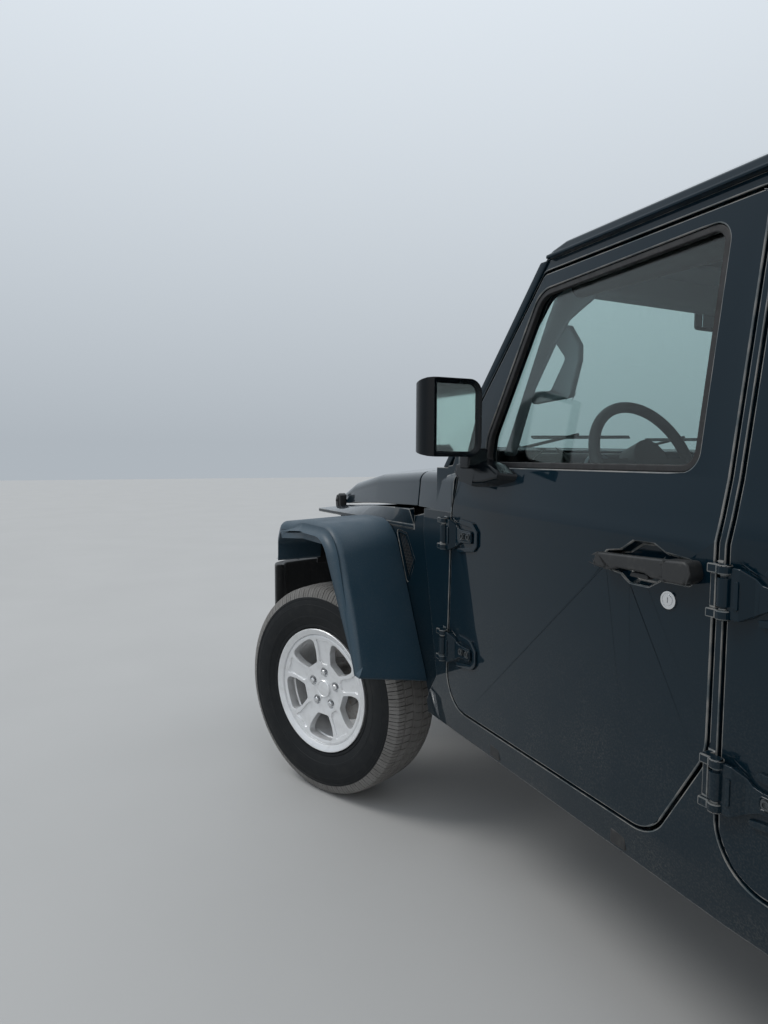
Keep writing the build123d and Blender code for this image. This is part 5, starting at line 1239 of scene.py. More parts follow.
def spoke_face(radius):
    """how far out the spokes' front surface lies at a radius"""
    return HUB_FACE[0] + (radius - HUB_FACE[1]) / (LIP_FACE[1] - HUB_FACE[1]) * (LIP_FACE[0] - HUB_FACE[0])


def around(tool, angle):
    """a cutting tool turned to its spoke"""
    tool.rotation_euler = (0, -angle, 0)
    return settle(tool)


def widened(tool, far_y, factor, centre):
    """the tool's front end made wider, so that its cut slopes"""
    with editing(tool):
        pick(tool, verts=lambda v: v.co.y > far_y)
        bpy.ops.transform.resize(value=(factor, 1, factor), center_override=centre)
    return tool


spider = lathe(SPIDER, 120)
for i in range(SPOKES):
    spoke = -(FIRST_SPOKE + i * TAU / SPOKES)
    gap = spoke - TAU / SPOKES / 2
    window = flat_face([Vector((u, 0.03, v)) for u, v in soft_outline(WINDOW, 4)])
    extruded(window, (0, 0.08, 0))
    widened(window, 0.1, 1.12, (0.150, 0, 0))
    hollowed(spider, around(window, gap))
    recess = flat_face([Vector((u, spoke_face(u) - RECESS_DEPTH, v)) for u, v in soft_outline(RECESS, 4)])
    extruded(recess, (0, 0.03, 0))
    widened(recess, 0.1, 1.1, (0.145, 0, 0))
    hollowed(spider, around(recess, spoke))
    well = peg((LUG_CIRCLE, 0.064, 0), (LUG_CIRCLE, 0.11, 0), WELL_RADIUS, 28)
    hollowed(spider, around(well, spoke))
rounded(spider, 0.0022, 2, 28)
barrel = lathe(BARREL, 96)
cap = lathe([(0.070, 0.0), (0.070, 0.0335), (0.0835, 0.0335), (0.0855, 0.0315), (0.0850, 0.0285),
             (0.0840, 0.0275), (0.0848, 0.0250), (0.0868, 0.0)], 48)
rim = merged([spider, barrel, cap])

nuts = []
for i in range(SPOKES):
    nut = peg((LUG_CIRCLE, 0.060, 0), (LUG_CIRCLE, 0.0825, 0), 0.0112, 6)
    with editing(nut):
        pick(nut, faces=lambda f: f.normal.y > 0.9)
        bpy.ops.mesh.inset(thickness=0.0022)
        bpy.ops.transform.translate(value=(0, 0.0035, 0))
    rounded(nut, 0.0009, 2, 20)
    nuts.append(around(nut, -(FIRST_SPOKE + i * TAU / SPOKES)))
nuts = merged(nuts)

disc = lathe([(-0.030, 0.0), (-0.030, 0.095), (-0.0335, 0.097), (-0.0335, 0.1495), (-0.0400, 0.1495),
              (-0.0400, 0.110), (-0.0480, 0.110), (-0.0480, 0.1495), (-0.0575, 0.1495), (-0.0575, 0.0)], 72)
hub = lathe([(-0.031, 0.0), (-0.031, 0.0775), (0.020, 0.0775), (0.026, 0.074), (0.041, 0.074),
             (0.041, 0.0)], 48)
disc = merged([disc, hub])

for place_name, (body, place) in WHEELS.items():
    node = f"rim_{place_name}"
    piece = placed_copy(rim, node + ".piece", alloy, body, place, 35)
    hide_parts(node)
    placed_copy(nuts, f"wheel_nuts_{place_name}", chrome, body, place)
    placed_copy(disc, f"brake_disc_{place_name}", disc_steel, body, place)
piece = placed_copy(rim, "spare_rim.piece", alloy, "swing_gate", SPARE_PLACE, 35)
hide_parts("spare_rim")
placed_copy(nuts, "wheel_nuts_spare", chrome, "swing_gate", SPARE_PLACE)
for piece in (rim, nuts, disc):
    bpy.data.objects.remove(piece)


# %% [markdown]
# ## Tyres
# A road tyre is a turned carcass with rings on its sidewall, and a tread of ribs cut by slots.
# The carcass is spun from its section. The tread is one grid primitive wrapped round: its rows
# follow the tread's section and its columns the circumference, and where a row belongs to a rib and
# a column to a slot, the point is set lower. Stations close together make the slots' walls steep.

# %% Tyre carcass and tread
SIDEWALL = [(0.0947, 0.2163), (0.0947, 0.2360), (0.0975, 0.2385), (0.1045, 0.2405), (0.1060, 0.2445),
            (0.1060, 0.2495), (0.1045, 0.2515), (0.1095, 0.2620), (0.1142, 0.2760), (0.1154, 0.2768),
            (0.1176, 0.2850), (0.1171, 0.2862), (0.1198, 0.3000), (0.1208, 0.3150), (0.1203, 0.3280),
            (0.1208, 0.3290), (0.1201, 0.3300), (0.1190, 0.3400), (0.1168, 0.3490), (0.1180, 0.3500),
            (0.1164, 0.3565), (0.1152, 0.3575), (0.1105, 0.3690), (0.1020, 0.3800)]
carcass_section = SIDEWALL + [(-y, radius) for y, radius in reversed(SIDEWALL)]
carcass = lathe(carcass_section, 96)

CROWN_RADIUS = 0.3992
CROWN_DROP = 0.0048
TREAD_EDGE = 0.0885
GROOVES = (0.026, 0.068)
GROOVE_HALF = 0.0042
GROOVE_DEPTH = 0.0075
SLOT_DEPTH = 0.006
PITCHES = 88
STATIONS = ((0.0, 0), (0.02, 1), (0.10, 1), (0.12, 0), (0.50, 0), (0.51, 2), (0.55, 2), (0.56, 0))
SHOULDER = [(0.0885, 0.3942), (0.0990, 0.3900), (0.1068, 0.3790), (0.1130, 0.3650), (0.1154, 0.3580)]


def crown(y):
    return CROWN_RADIUS - CROWN_DROP * (y / TREAD_EDGE) ** 2


rows = [(0.0, crown(0), "middle")]
for groove, rib in zip(GROOVES, ("inner", "outer")):
    for share, drop in ((-1, 0), (-0.6, 1), (0.6, 1), (1, 0)):
        kind = "groove" if drop else ("middle" if rib == "inner" else "inner") if share < 0 else rib
        rows.append((groove + share * GROOVE_HALF, crown(groove) - drop * GROOVE_DEPTH, kind))
rows += [(y, radius, "outer") for y, radius in SHOULDER[:-1]]
rows += [(*SHOULDER[-1], "end"), (0.1000, 0.3550, "end")]
rows = [(-y, radius, kind) for y, radius, kind in reversed(rows[1:])] + rows
CUT_BY = {"outer": (1, 2), "inner": (1,), "middle": (2,), "groove": (), "end": ()}
SKEW = {"outer": 0.0, "inner": 0.22, "middle": -0.35, "groove": 0.0, "end": 0.0}
columns = PITCHES * len(STATIONS)
bpy.ops.mesh.primitive_grid_add(x_subdivisions=columns, y_subdivisions=len(rows))
tread = bpy.context.object
row_length = columns + 1
for vertex in tread.data.vertices:
    y, radius, kind = rows[(vertex.index // row_length) % len(rows)]
    pitch, station = divmod(vertex.index % row_length, len(STATIONS))
    share, slot = STATIONS[station]
    if slot in CUT_BY[kind] and slot:
        radius -= SLOT_DEPTH if slot == 1 else 0.7 * SLOT_DEPTH
    turn = TAU / PITCHES * (pitch + share + SKEW[kind] * (0.5 if y > 0 else -0.5))
    vertex.co = (radius * math.cos(turn), y, radius * math.sin(turn))
faces_out(tread)
print("tread triangles", sum(len(f.vertices) - 2 for f in tread.data.polygons))

for place_name, (body, place) in list(WHEELS.items()) + [("spare", ("swing_gate", SPARE_PLACE))]:
    node = "spare_tyre" if place_name == "spare" else f"tyre_{place_name}"
    piece = placed_copy(carcass, f"{node}.piece", sidewall, body, place, 25)
    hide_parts(node)
    placed_copy(tread, f"{node}_tread", tread_rubber, body, place, 30)
for piece in (carcass, tread):
    bpy.data.objects.remove(piece)


# %% [markdown]
# ## Fender vents and hood catches
# Behind the flare the fender has a tall vent with a fine mesh, framed by a raised lip. The mesh is
# two sets of slanted wires that a boolean cuts to the vent's outline, because a bump alone would
# look flat from the side. A rubber catch with a notched top holds the hood down on each side, and
# the cowl has one exposed bolt near the door.

# %% Fender vents and hood catches
VENT_PLACE = 0.6615
VENT = [(0.303, 1.026, 0.010), (0.371, 1.017, 0.010), (0.432, 0.930, 0.012), (0.383, 0.842, 0.008)]
VENT_FRAME = 0.006
MESH_PITCH = 0.011
MESH_WIRE = 0.0011


def upright(corners, y, depth, steps=5):
    """a block on a fore-and-aft plane, from y outwards by the depth"""
    return extruded(flat_face([Vector((row_x(u), y, v)) for u, v in soft_outline(corners, steps)]),
                    (0, depth, 0))


def across(corners, x, depth, steps=5):
    """a block on a cross plane, its outline in (y, z), from x forwards by the depth"""
    return extruded(flat_face([Vector((x, u, v)) for u, v in soft_outline(corners, steps)]),
                    (depth, 0, 0))


frame_ring = seal_ring([Vector((row_x(u), VENT_PLACE, v)) for u, v in soft_outline(VENT, 5)],
                       VENT_FRAME, Vector((0, 0.008, 0)))
rounded(frame_ring, 0.0015, 2)
both_sides(frame_ring, "vent_frame", paint, "root")

wires = []
for i in range(24):
    for slant in (-0.5, 0.5):
        foot = Vector((row_x(0.28 + i * MESH_PITCH), VENT_PLACE + 0.001, 0.82))
        wires.append(peg(foot, foot + Vector((slant * 0.24, 0, 0.24)), MESH_WIRE, 5))
mesh = merged(wires)
outline_block = upright(VENT, VENT_PLACE - 0.004, 0.010)
modified(mesh, "BOOLEAN", operation="INTERSECT", object=outline_block, solver="EXACT", use_self=True)
bpy.data.objects.remove(outline_block)
both_sides(mesh, "vent_mesh", black_plastic, "root")

catch = upright([(-0.530, 1.044, 0.004), (-0.536, 1.082, 0.010), (-0.522, 1.112, 0.008),
                 (-0.508, 1.104, 0.003), (-0.500, 1.118, 0.006), (-0.482, 1.108, 0.008),
                 (-0.480, 1.044, 0.004)], 0.514, 0.034, 4)
rounded(catch, 0.004, 3)
strap_band = upright([(-0.519, 1.050, 0.002), (-0.523, 1.094, 0.004), (-0.498, 1.098, 0.004),
                      (-0.494, 1.050, 0.002)], 0.540, 0.012, 3)
rounded(strap_band, 0.003, 2)
pin = peg((row_x(-0.508), 0.510, 1.083), (row_x(-0.508), 0.557, 1.083), 0.006, 20)
rounded(pin, 0.001, 2)
both_sides(merged([catch, strap_band, pin]), "hood_catch", black_plastic, "root")

cowl_bolt = bolt_head((row_x(0.705), 0.701, 1.152), (0.05, 1, 0.18), 0.009, 0.005)
both_sides(cowl_bolt, "cowl_bolt", bolt_steel, "root")


# %% [markdown]
# ## Head and fog lamps
# A round headlamp is a black bezel, a bright dished reflector behind a clear domed lens, and a
# small bulb shield in the middle. All of them are spun from sections whose points are shares of
# the lamp's radius, so the fog lamps repeat them in small.

# %% Head and fog lamps
LAMP_SETS = (
    # name, y, z, front x, radius
    ("head_lamp", 0.390, 0.925, row_x(-0.575) + 0.006, 0.0885),
    ("fog_lamp", 0.600, 0.670, row_x(-0.698), 0.0475),
)


def lamp_parts(y, z, front_x, radius):
    """bezel, reflector and lens of one round lamp, facing forwards"""
    turn = Matrix.Translation((front_x, y, z)) @ Matrix.Rotation(-TAU / 4, 4, "Z")
    bezel = lathe([(-0.036, radius), (-0.002, radius), (0.0, radius * 0.975), (-0.003, radius * 0.91),
                   (-0.010, radius * 0.875), (-0.036, radius * 0.86)], 64)
    bowl = lathe([(-0.012, radius * 0.86), (-0.026, radius * 0.66), (-0.036, radius * 0.38),
                  (-0.040, 0.0), (-0.044, 0.0), (-0.044, radius * 0.88), (-0.012, radius * 0.88)], 64)
    shield = lathe([(-0.040, radius * 0.30), (-0.018, radius * 0.30), (-0.015, radius * 0.22),
                    (-0.015, 0.0), (-0.042, 0.0)], 48)
    lens = lathe([(-0.009, 0.0), (-0.0095, radius * 0.5), (-0.013, radius * 0.87),
                  (-0.010, radius * 0.885), (-0.0055, radius * 0.5), (-0.0045, 0.0)], 64)
    parts = []
    for piece in (merged([bezel, shield]), bowl, lens):
        piece.matrix_world = turn
        parts.append(settle(piece))
    return parts


for lamp, y, z, front_x, radius in LAMP_SETS:
    bezel, bowl, lens = lamp_parts(y, z, front_x, radius)
    both_sides(bezel, f"{lamp}_bezel", black_plastic, "root")
    both_sides(bowl, f"{lamp}_reflector", chrome, "root")
    both_sides(lens, f"{lamp}_lens", clear_lens, "root")


# %% [markdown]
# ## Turn and tail lamps
# The turn lamp on the front end of each flare is an amber bar. The tail lamp is a black housing
# with three lenses set into it. A boolean hollows the housing, and each lens is a block whose
# face is inset and pushed in, which leaves a rim that catches the light.

# %% Turn and tail lamps
REAR_FACE = row_x(3.735)
turn_lamp = across([(0.724, 0.862, 0.010), (0.838, 0.862, 0.010), (0.834, 0.938, 0.014),
                    (0.724, 0.942, 0.012)], row_x(-0.446), 0.0135, 4)
rounded(turn_lamp, 0.004, 3)
both_sides(turn_lamp, "turn_lamp", amber_lens, "root")

TAIL_FACE = REAR_FACE - 0.043
housing = brick((TAIL_FACE, 0.647, 0.862), (REAR_FACE, 0.764, 1.109))
rounded(housing, 0.010, 4)
inner = across(oblong(0.659, 0.876, 0.752, 1.095, 0.008), TAIL_FACE - 0.01, 0.022, 4)
hollowed(housing, inner)
both_sides(housing, "tail_lamp_housing", black_plastic, "root")
TAIL_LENSES = (
    # name, bottom, top, finish
    ("stop_lamp", 0.962, 1.093, red_lens),
    ("back_lamp", 0.920, 0.958, clear_lens),
    ("rear_turn_lamp", 0.878, 0.916, red_lens),
)
for name, low, high, finish in TAIL_LENSES:
    lens = across(oblong(0.661, low, 0.750, high, 0.006), TAIL_FACE + 0.001, 0.014, 4)
    with editing(lens):
        pick(lens, faces=lambda f: f.normal.x < -0.9)
        bpy.ops.mesh.inset(thickness=0.005)
        bpy.ops.mesh.extrude_region_move(TRANSFORM_OT_translate={"value": (0.003, 0, 0)})
    rounded(lens, 0.0015, 2)
    both_sides(lens, name, finish, "root")
coated(nodes["lamps"], black_plastic)
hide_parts("lamps")


# %% [markdown]
# ## Grille
# Each of the nine grille slots has a thin raised rim and a black mesh some way in, in front of the
# radiator. The mesh and the radiator's upright fins are rows of thin plates set by loops. A mesh
# that is only drawn on a face would lose its depth when seen from the side.

# %% Grille mesh and slot rims
SLOT_PITCH = 0.056
SLOT_HALF = 0.018
SLOT_LOW, SLOT_HIGH = 0.770, 1.015
GRILLE_FACE = row_x(-0.575)
rims = []
for i in range(9):
    y = (i - 4) * SLOT_PITCH
    corners = oblong(y - SLOT_HALF, SLOT_LOW, y + SLOT_HALF, SLOT_HIGH, 0.017)
    points = [Vector((GRILLE_FACE - 0.050, u, v)) for u, v in soft_outline(corners, 6)]
    ring = seal_ring(points, 0.0035, Vector((0.046, 0, 0)))
    rims.append(ring)
slot_rims = merged(rims)
rounded(slot_rims, 0.001, 2, 50)
finished(slot_rims, "grille_slot_rims", gloss_black, "root")

MESH_HALF = 0.262
MESH_X = GRILLE_FACE - 0.044
bars = []
for i in range(31):
    z = SLOT_LOW - 0.010 + i * 0.0088
    bars.append(brick((MESH_X - 0.003, -MESH_HALF, z), (MESH_X, MESH_HALF, z + 0.0018)))
for i in range(62):
    y = -MESH_HALF + i * 0.0086
    bars.append(brick((MESH_X - 0.0035, y, SLOT_LOW - 0.012),
                      (MESH_X - 0.0005, y + 0.0016, SLOT_HIGH + 0.01)))
finished(merged(bars), "grille_mesh", black_plastic, "root")

FINS = 75
FIN_EDGE = 0.008
fins = []
core_low, core_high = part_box("radiator")
for i in range(FINS):
    y = core_low.y + FIN_EDGE + i * (core_high.y - core_low.y - 2 * FIN_EDGE) / (FINS - 1)
    fins.append(brick((core_high.x, y, core_low.z + 0.03),
                      (core_high.x + 0.004, y + 0.0012, core_high.z - 0.03)))
finished(merged(fins), "radiator_fins", cast, "root")


# %% [markdown]
# ## Rocker brackets
# Under the doors three small brackets, each with a stud, hang from the rocker. They are rounded
# blocks placed from the body side's own line, so that they follow it as it widens rearwards.

# %% Rocker brackets
brackets = []
for behind in (0.985, 1.465, 2.350):
    base = skin(behind, 0.50, -0.010)
    piece = brick(base + Vector((-0.022, -0.035, -0.045)), base + Vector((0.022, 0.004, -0.012)))
    rounded(piece, 0.004, 3)
    stud = peg(base + Vector((0, -0.014, -0.060)), base + Vector((0, -0.014, -0.040)), 0.007, 6)
    brackets += [piece, rounded(stud, 0.001, 2)]
both_sides(merged(brackets), "rocker_brackets", black_plastic, "root")


# %% [markdown]
# ## Wipers
# Two wipers rest on the windscreen's foot. Their places are given as distances up the leaning
# glass and off it, and one function turns those into a point, so the blades lie along the pane
# without any angle being worked out by hand.

# %% Wipers
screen_low, screen_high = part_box("windscreen_glass")
lean_run = screen_high.x - screen_low.x
lean_rise = screen_high.z - screen_low.z
up_screen = Vector((-lean_run, 0, lean_rise)).normalized()
off_screen = Vector((lean_rise, 0, lean_run)).normalized()
foot_of_screen = Vector((screen_high.x, 0, screen_low.z))


def on_screen(across_y, up, out):
    return foot_of_screen + up_screen * up + off_screen * out + Vector((0, across_y, 0))


for name, pivot, tip in (("left", 0.43, -0.02), ("right", -0.08, -0.53)):
    arm_start, arm_end = on_screen(pivot, -0.010, 0.016), on_screen((pivot + tip) / 2, 0.050, 0.022)
    arm = peg(arm_start, arm_end, 0.0055, 10)
    rounded(arm, 0.001, 1)
    hub_cap = peg(on_screen(pivot, -0.012, 0.002), on_screen(pivot, -0.012, 0.026), 0.013, 24)
    rounded(hub_cap, 0.003, 3)
    spine = peg(on_screen(pivot - 0.03, 0.040, 0.016), on_screen(tip, 0.050, 0.016), 0.0042, 8)
    blade = peg(on_screen(pivot - 0.03, 0.040, 0.009), on_screen(tip, 0.050, 0.009), 0.0028, 6)
    finished(merged([arm, hub_cap, spine, blade]), f"wiper_{name}", black_plastic, "root")


# %% [markdown]
# ## Seats
# The pads are stuffed cloth covers. Each starts as a slightly small block with the seat's side
# profile, is remeshed evenly, and is then blown up a little by a short cloth simulation with
# pressure and no gravity, with a cap on how far a point may move. The seams are pressed in
# afterwards, along lines that run fore and aft, because remeshing would erase them.

# %% Stuffing helpers
CLOTH_FRAMES = 16


def stuffed(obj, voxel, pressure, cap):
    """a closed block swollen like a stuffed cover"""
    modified(obj, "REMESH", mode="VOXEL", voxel_size=voxel)
    starts = [vertex.co.copy() for vertex in obj.data.vertices]
    only(obj)
    cloth = obj.modifiers.new("cloth", "CLOTH")
    cloth.settings.use_pressure = True
    cloth.settings.uniform_pressure_force = pressure
    cloth.settings.effector_weights.gravity = 0
    for frame_number in range(1, CLOTH_FRAMES + 1):
        bpy.context.scene.frame_set(frame_number)
    bpy.ops.object.modifier_apply(modifier=cloth.name)
    bpy.context.scene.frame_set(1)
    for vertex, start in zip(obj.data.vertices, starts):
        move = vertex.co - start
        if move.length > cap:
            vertex.co = start + move.normalized() * cap
    modified(obj, "SMOOTH", iterations=5, factor=0.5)
    return modified(obj, "SUBSURF", levels=1, render_levels=1)


def pressed_seams(obj, places, width, depth):
    """grooves along the seat where the cover is sewn, at these distances from its middle"""
    centre = sum((v.co for v in obj.data.vertices), Vector()) / len(obj.data.vertices)
    for vertex in obj.data.vertices:
        for place in places:
            share = 1 - abs(vertex.co.y - centre.y - place) / width
            if share > 0:
                towards = Vector((centre.x - vertex.co.x, 0, centre.z - vertex.co.z))
                if towards.length > 0.02:
                    vertex.co += towards.normalized() * depth * share ** 0.5 * share
    return obj



# %% [markdown]
# ## Front and rear seats
# Each cover is given by its side outline, half its width and where its seams run. A front cover is
# stuffed once and copied to both sides, which keeps the pair alike and saves a simulation. The
# plinths, posts and levers that carry the covers are rounded blocks and pegs.

# %% Front and rear seats
SEAT_Y = 0.362
PADS = (
    # name, side outline, half width, seams from the middle, cap on swelling
    ("seat_cushion", [(1.412, 0.790, 0.03), (1.412, 0.866, 0.045), (1.886, 0.838, 0.03),
                      (1.886, 0.768, 0.03)], 0.214, (-0.128, 0.128), 0.013),
    ("seat_back", [(1.852, 0.818, 0.03), (1.962, 1.354, 0.035), (2.044, 1.354, 0.035),
                   (1.958, 0.806, 0.035)], 0.214, (-0.128, 0.128), 0.013),
    ("head_rest", [(1.980, 1.408, 0.03), (1.999, 1.548, 0.034), (2.058, 1.548, 0.034),
                   (2.050, 1.408, 0.03)], 0.106, (), 0.010),
)
REAR_PADS = (
    ("rear_cushion", [(2.203, 0.797, 0.03), (2.203, 0.876, 0.045), (2.638, 0.856, 0.03),
                      (2.638, 0.790, 0.03)], 0.534, (-0.36, -0.18, 0.18, 0.36), 0.012),
    ("rear_back", [(2.612, 0.862, 0.03), (2.704, 1.322, 0.035), (2.778, 1.322, 0.035),
                   (2.738, 0.848, 0.03)], 0.534, (-0.36, -0.18, 0.18, 0.36), 0.012),
)


def pad(outline, half, seams, cap, voxel):
    block = upright(outline, -half, 2 * half, 5)
    rounded(block, 0.022, 4)
    stuffed(block, voxel, 4, cap)
    return pressed_seams(block, seams, 0.012, 0.009)


for name, outline, half, seams, cap in PADS:
    cover = pad(outline, half, seams, cap, 0.010)
    for side, sign in (("left", 1), ("right", -1)):
        place = Matrix.Translation((0, sign * SEAT_Y, 0))
        piece = placed_copy(cover, f"{name}_{side}", seat_cloth, "root", place, 60)
        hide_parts("front_seats")
    bpy.data.objects.remove(cover)
for name, outline, half, seams, cap in REAR_PADS:
    cover = pad(outline, half, seams, cap, 0.015)
    finished(cover, name, seat_cloth, "root", 60, stands_for=["rear_seat"])

frames = []
for sign in (1, -1):
    seat_y = sign * SEAT_Y
    plinth = brick((row_x(1.850), seat_y - 0.170, 0.647), (row_x(1.480), seat_y + 0.170, 0.776))
    with editing(plinth):
        pick(plinth, faces=lambda f: f.normal.z < -0.9)
        bpy.ops.transform.resize(value=(0.86, 0.9, 1))
    frames.append(rounded(plinth, 0.012, 3))
    for offset in (-0.05, 0.05):
        y = seat_y + offset
        post = peg((row_x(2.012), y, 1.335), (row_x(2.018), y, 1.425), 0.006, 16)
        frames.append(rounded(post, 0.001, 1))
    lever = brick((row_x(1.72), seat_y + sign * 0.176, 0.735), (row_x(1.60), seat_y + sign * 0.190, 0.760))
    frames.append(rounded(lever, 0.005, 2))
rail = brick((row_x(2.415), -0.5, 0.647), (row_x(2.330), 0.5, 0.786))
frames.append(rounded(rail, 0.01, 3))
finished(merged(frames), "seat_frames", cabin_plastic, "root")


# %% [markdown]
# ## Dashboard
# Two round dials with ticks and needles sit under the gauge hood, facing the driver. The centre
# holds a dark screen over a row of round switches, and there are round air vents and a grab bar.
# Turned parts are made at the origin, and one matrix tilts and places each with all its marks.

# %% Dials, screen and vents
DIAL_NORMAL = Vector((-0.96, 0, 0.28))
DASH_NORMAL = Vector((-0.994, 0, 0.11))


def facing(centre, normal):
    """the matrix that puts a lathed piece at a centre, its front towards a direction"""
    return Matrix.Translation(centre) @ Vector((0, 1, 0)).rotation_difference(normal).to_matrix().to_4x4()


def set_at(obj, place):
    obj.matrix_world = place
    return settle(obj)


rings, faces, marks = [], [], []
for offset in (-0.078, 0.078):
    centre = Vector((row_x(1.0585), SEAT_Y + offset, 1.243))
    place = facing(centre, DIAL_NORMAL)
    rings.append(set_at(lathe([(-0.004, 0.055), (0.009, 0.055), (0.011, 0.053), (0.006, 0.049),
                               (-0.004, 0.048)], 48), place))
    faces.append(set_at(lathe([(-0.004, 0.0), (-0.004, 0.050), (0.002, 0.050), (0.0028, 0.0)], 48), place))
    for i in range(25):
        turn = Matrix.Rotation(math.radians(-130 + i * 260 / 24), 4, "Y")
        length = 0.008 if i % 4 == 0 else 0.004
        tick = brick((-0.0006, 0.002, 0.045 - length), (0.0006, 0.0036, 0.045))
        marks.append(set_at(tick, place @ turn))
    needle = brick((-0.001, 0.004, -0.010), (0.001, 0.0052, 0.040))
    marks.append(set_at(needle, place @ Matrix.Rotation(math.radians(-118), 4, "Y")))
finished(merged(rings), "dial_rings", trim_grey, "root")
finished(merged(faces), "dial_faces", gloss_black, "root")
finished(merged(marks), "dial_marks", stitch_thread, "root")

screen = brick((row_x(1.094), -0.098, 1.052), (row_x(1.060), 0.098, 1.162))
rounded(screen, 0.006, 3)
finished(screen, "dash_screen", gloss_black, "root")
vents = []
for y in (-0.48, -0.155, 0.155, 0.505):
    place = facing(Vector((row_x(1.078), y, 1.112)), DASH_NORMAL)
    vents.append(set_at(lathe([(-0.010, 0.040), (0.008, 0.040), (0.010, 0.037), (0.004, 0.032),
                               (-0.010, 0.031)], 40), place))
    vents.append(set_at(lathe([(-0.012, 0.0), (-0.012, 0.033), (-0.002, 0.033), (0.0, 0.0)], 40), place))
    for i in range(-2, 3):
        slat = brick((-0.028, 0.0, i * 0.011 - 0.001), (0.028, 0.004, i * 0.011 + 0.001))
        vents.append(set_at(slat, place))
for i in range(5):
    place = facing(Vector((row_x(1.072), -0.08 + i * 0.04, 1.015)), DASH_NORMAL)
    knob = lathe([(-0.012, 0.0), (-0.012, 0.016), (0.016, 0.014), (0.018, 0.012), (0.018, 0.0)], 24)
    vents.append(set_at(knob, place))
bar = peg((row_x(1.112), -0.430, 1.130), (row_x(1.112), -0.225, 1.130), 0.012, 20)
ends = [peg((row_x(1.075), y, 1.130), (row_x(1.114), y, 1.130), 0.011, 16) for y in (-0.425, -0.230)]
vents += [rounded(bar, 0.003, 2)] + ends
finished(merged(vents), "dash_vents", black_plastic, "root")


# %% [markdown]
# ## Levers on the console
# A gear lever and a shorter one for the transfer box rise from the console. Each is a peg with a
# well rounded knob and a boot, which is a peg whose top face is scaled in to a cone.

# %% Levers on the console
levers = []
for behind, y, height, tilt in ((1.245, 0.0, 0.150, 0.012), (1.320, 0.075, 0.105, -0.010)):
    foot = Vector((row_x(behind), y, 0.898))
    top = foot + Vector((-tilt, 0, height))
    levers.append(peg(foot, top, 0.0065, 16))
    knob = peg(top - Vector((0, 0, 0.030)), top + Vector((0, 0, 0.028)), 0.022, 24)
    levers.append(rounded(knob, 0.014, 4))
    boot = peg(foot - Vector((0, 0, 0.002)), foot + Vector((0, 0, 0.030)), 0.040, 24)
    with editing(boot):
        pick(boot, faces=lambda f: f.normal.z > 0.9)
        bpy.ops.transform.resize(value=(0.3, 0.3, 1))
    levers.append(rounded(boot, 0.004, 2))
finished(merged(levers), "console_levers", cabin_plastic, "root")


# %% [markdown]
# ## Headliner, visors, mirror and pillar trim
# These are what the side window shows against the light: a pale headliner, two sun visors, the
# inside mirror, a header rail, and on each windscreen pillar a trim with a grab handle. The
# pillar pieces are outlines drawn from the side and extruded, the rest are rounded blocks.

# %% Headliner, visors, mirror and pillar trim
liner = brick((row_x(3.600), -0.585, 1.790), (row_x(1.125), 0.585, 1.797))
rounded(liner, 0.003, 2)
finished(liner, "headliner", trim_grey, "root")
visors = []
for sign in (1, -1):
    visor = brick((row_x(1.270), sign * 0.330 - 0.190, 1.762), (row_x(1.112), sign * 0.330 + 0.190, 1.778))
    visors.append(rounded(visor, 0.007, 4))
finished(merged(visors), "sun_visors", trim_grey, "root")
mirror_back = brick((row_x(1.118), -0.125, 1.655), (row_x(1.090), 0.125, 1.722))
rounded(mirror_back, 0.012, 4)
stem = peg((row_x(1.100), 0, 1.690), (row_x(1.060), 0, 1.752), 0.008, 12)
finished(merged([mirror_back, stem]), "inside_mirror", cabin_plastic, "root")
inside_glass = brick((row_x(1.1195), -0.117, 1.662), (row_x(1.115), 0.117, 1.715))
finished(inside_glass, "inside_mirror_glass", mirror_glass, "root")
for piece_name, outline, low, thick in (
        ("pillar_trim", [(0.800, 1.290, 0.01), (1.025, 1.742, 0.01), (1.165, 1.742, 0.01),
                         (1.160, 1.686, 0.02), (1.106, 1.664, 0.02), (1.066, 1.645, 0.02),
                         (1.050, 1.622, 0.02), (1.017, 1.592, 0.02), (0.932, 1.474, 0.02),
                         (0.852, 1.290, 0.01)], 0.562, 0.013),
        ("grab_handle", [(1.058, 1.642, 0.01), (1.104, 1.580, 0.02), (1.104, 1.540, 0.02),
                         (1.073, 1.446, 0.012), (0.912, 1.436, 0.01), (0.930, 1.472, 0.006),
                         (0.997, 1.470, 0.012), (1.053, 1.550, 0.012), (1.012, 1.596, 0.008)],
         0.546, 0.022)):
    trim = upright(outline, low, thick)
    both_sides(rounded(trim, 0.006, 3), piece_name, trim_grey, "root")
header = brick((row_x(1.168), -0.560, 1.694), (row_x(1.112), 0.560, 1.775))
finished(rounded(header, 0.016, 4), "header_trim", trim_grey, "root")


# %% [markdown]
# ## Door cards
# Inside, each door carries a moulded card with an armrest, a pull and a speaker ring. They are
# outlines on the same skin function as the outer pieces, but a door's thickness further in, and
# they are joined so that one piece rides on each door.

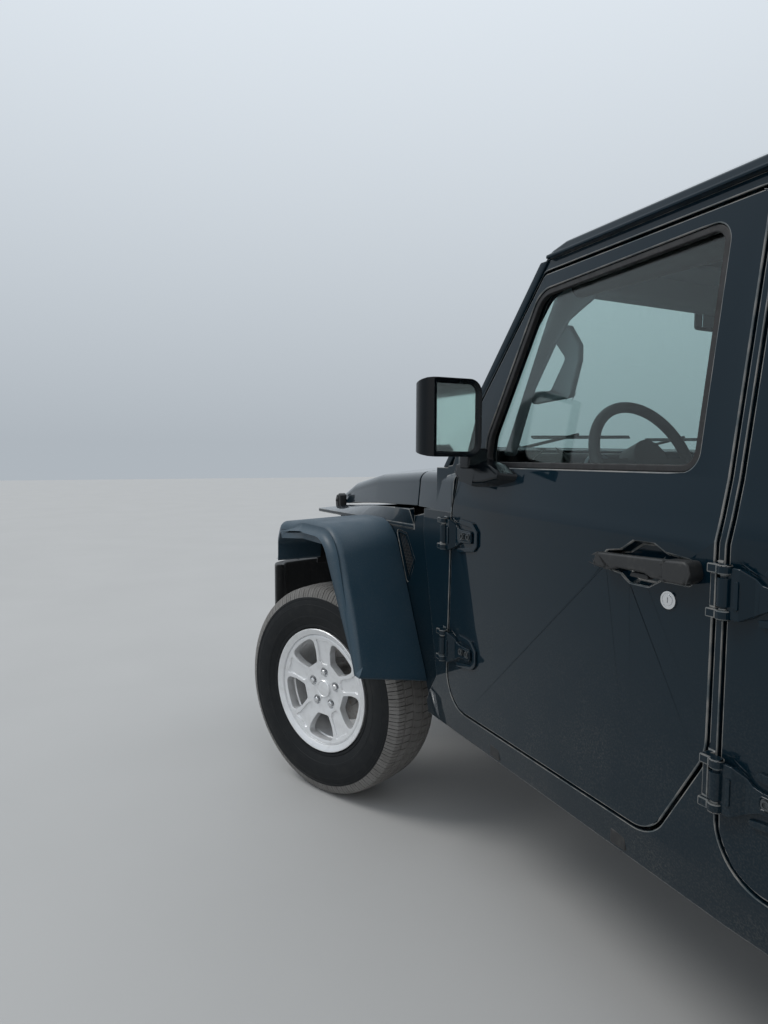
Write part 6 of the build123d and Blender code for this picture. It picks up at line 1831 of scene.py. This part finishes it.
# %% Door cards
DOOR_THICK = 0.090
CARD_OUT = 0.013
CARDS = {"front": [(0.985, 0.640, 0.03), (0.970, 1.120, 0.03), (1.640, 1.128, 0.03), (1.560, 0.640, 0.08)],
         "rear": [(1.860, 0.640, 0.05), (1.850, 1.120, 0.03), (2.480, 1.128, 0.03), (2.400, 0.760, 0.08),
                  (2.250, 0.640, 0.05)]}
ARMRESTS = {"front": (1.20, 1.52), "rear": (2.02, 2.32)}
for end, outline in CARDS.items():
    inside = -DOOR_THICK - CARD_OUT
    card = on_skin(outline, inside, -DOOR_THICK + 0.002)
    rounded(card, 0.004, 3)
    start, stop = ARMRESTS[end]
    arm = on_skin([(start, 0.900, 0.01), (start, 0.955, 0.02), (stop, 0.965, 0.02), (stop, 0.905, 0.01)],
                  inside - 0.040, inside + 0.004)
    rounded(arm, 0.012, 4)
    front, rear = start + 0.02, start + 0.13
    pull = on_skin([(front, 1.010, 0.008), (front, 1.034, 0.008), (rear, 1.034, 0.008),
                    (rear, 1.010, 0.008)], inside - 0.014, inside + 0.002)
    rounded(pull, 0.004, 3)
    speaker = lathe([(-0.002, 0.0), (-0.002, 0.070), (0.004, 0.070), (0.006, 0.066), (0.004, 0.060),
                     (0.0045, 0.0)], 40)
    set_at(speaker, facing(skin(front, 0.780, inside), Vector((0, -1, 0))))
    both_sides(merged([card, arm, pull, speaker]), f"door_card_{end}", cabin_plastic, f"door_{end}_SIDE")


# %% [markdown]
# ## Gate handle and plate
# The gate has a pull handle in a bezel on its left edge and a bare number plate in a black frame
# under it. The frame is a block hollowed by a second, smaller one.

# %% Gate handle and plate
GATE_FACE = row_x(3.745)
plate_frame = across(oblong(0.300, 0.668, 0.545, 0.800, 0.012), GATE_FACE - 0.008, 0.010)
hollow = across(oblong(0.309, 0.677, 0.536, 0.791, 0.006), GATE_FACE - 0.012, 0.008)
hollowed(plate_frame, hollow)
rounded(plate_frame, 0.002, 2)
finished(plate_frame, "plate_frame", black_plastic, "swing_gate")
plate = across(oblong(0.311, 0.679, 0.534, 0.789, 0.005), GATE_FACE - 0.0056, 0.0012)
rounded(plate, 0.0004, 1)
finished(plate, "blank_plate", trim_grey, "swing_gate")
bezel = across(oblong(0.452, 0.938, 0.556, 1.034, 0.012), GATE_FACE - 0.012, 0.014)
rounded(bezel, 0.004, 3)
finished(bezel, "gate_handle_bezel", black_plastic, "swing_gate")
lever = across(oblong(0.462, 0.966, 0.546, 1.004, 0.008), GATE_FACE - 0.029, 0.020)
rounded(lever, 0.006, 4)
finished(lever, "gate_handle", black_plastic, "swing_gate")


# %% [markdown]
# ## Gate hinges
# The gate hangs on two pointed straps on its right edge, each held by two flanged bolts. The bolts
# are the same helper as on the doors, turned to face rearwards.

# %% Gate hinges
gate_hinges = []
for z in (0.760, 1.110):
    strap = across([(-0.592, z - 0.030, 0.006), (-0.440, z - 0.022, 0.008), (-0.425, z, 0.010),
                    (-0.440, z + 0.022, 0.008), (-0.592, z + 0.030, 0.006)], GATE_FACE - 0.010, 0.0102)
    gate_hinges.append(rounded(strap, 0.0025, 3))
    for y in (-0.545, -0.480):
        gate_hinges.append(bolt_head((GATE_FACE - 0.009, y, z), (-1, 0, 0), 0.009, 0.006))
finished(merged(gate_hinges), "gate_hinge_straps", paint, "swing_gate")


# %% [markdown]
# ## Size of the finished model
# The last line measures the box that holds the finished model, with the floor left out.

# %% Size of the finished model
low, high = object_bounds()
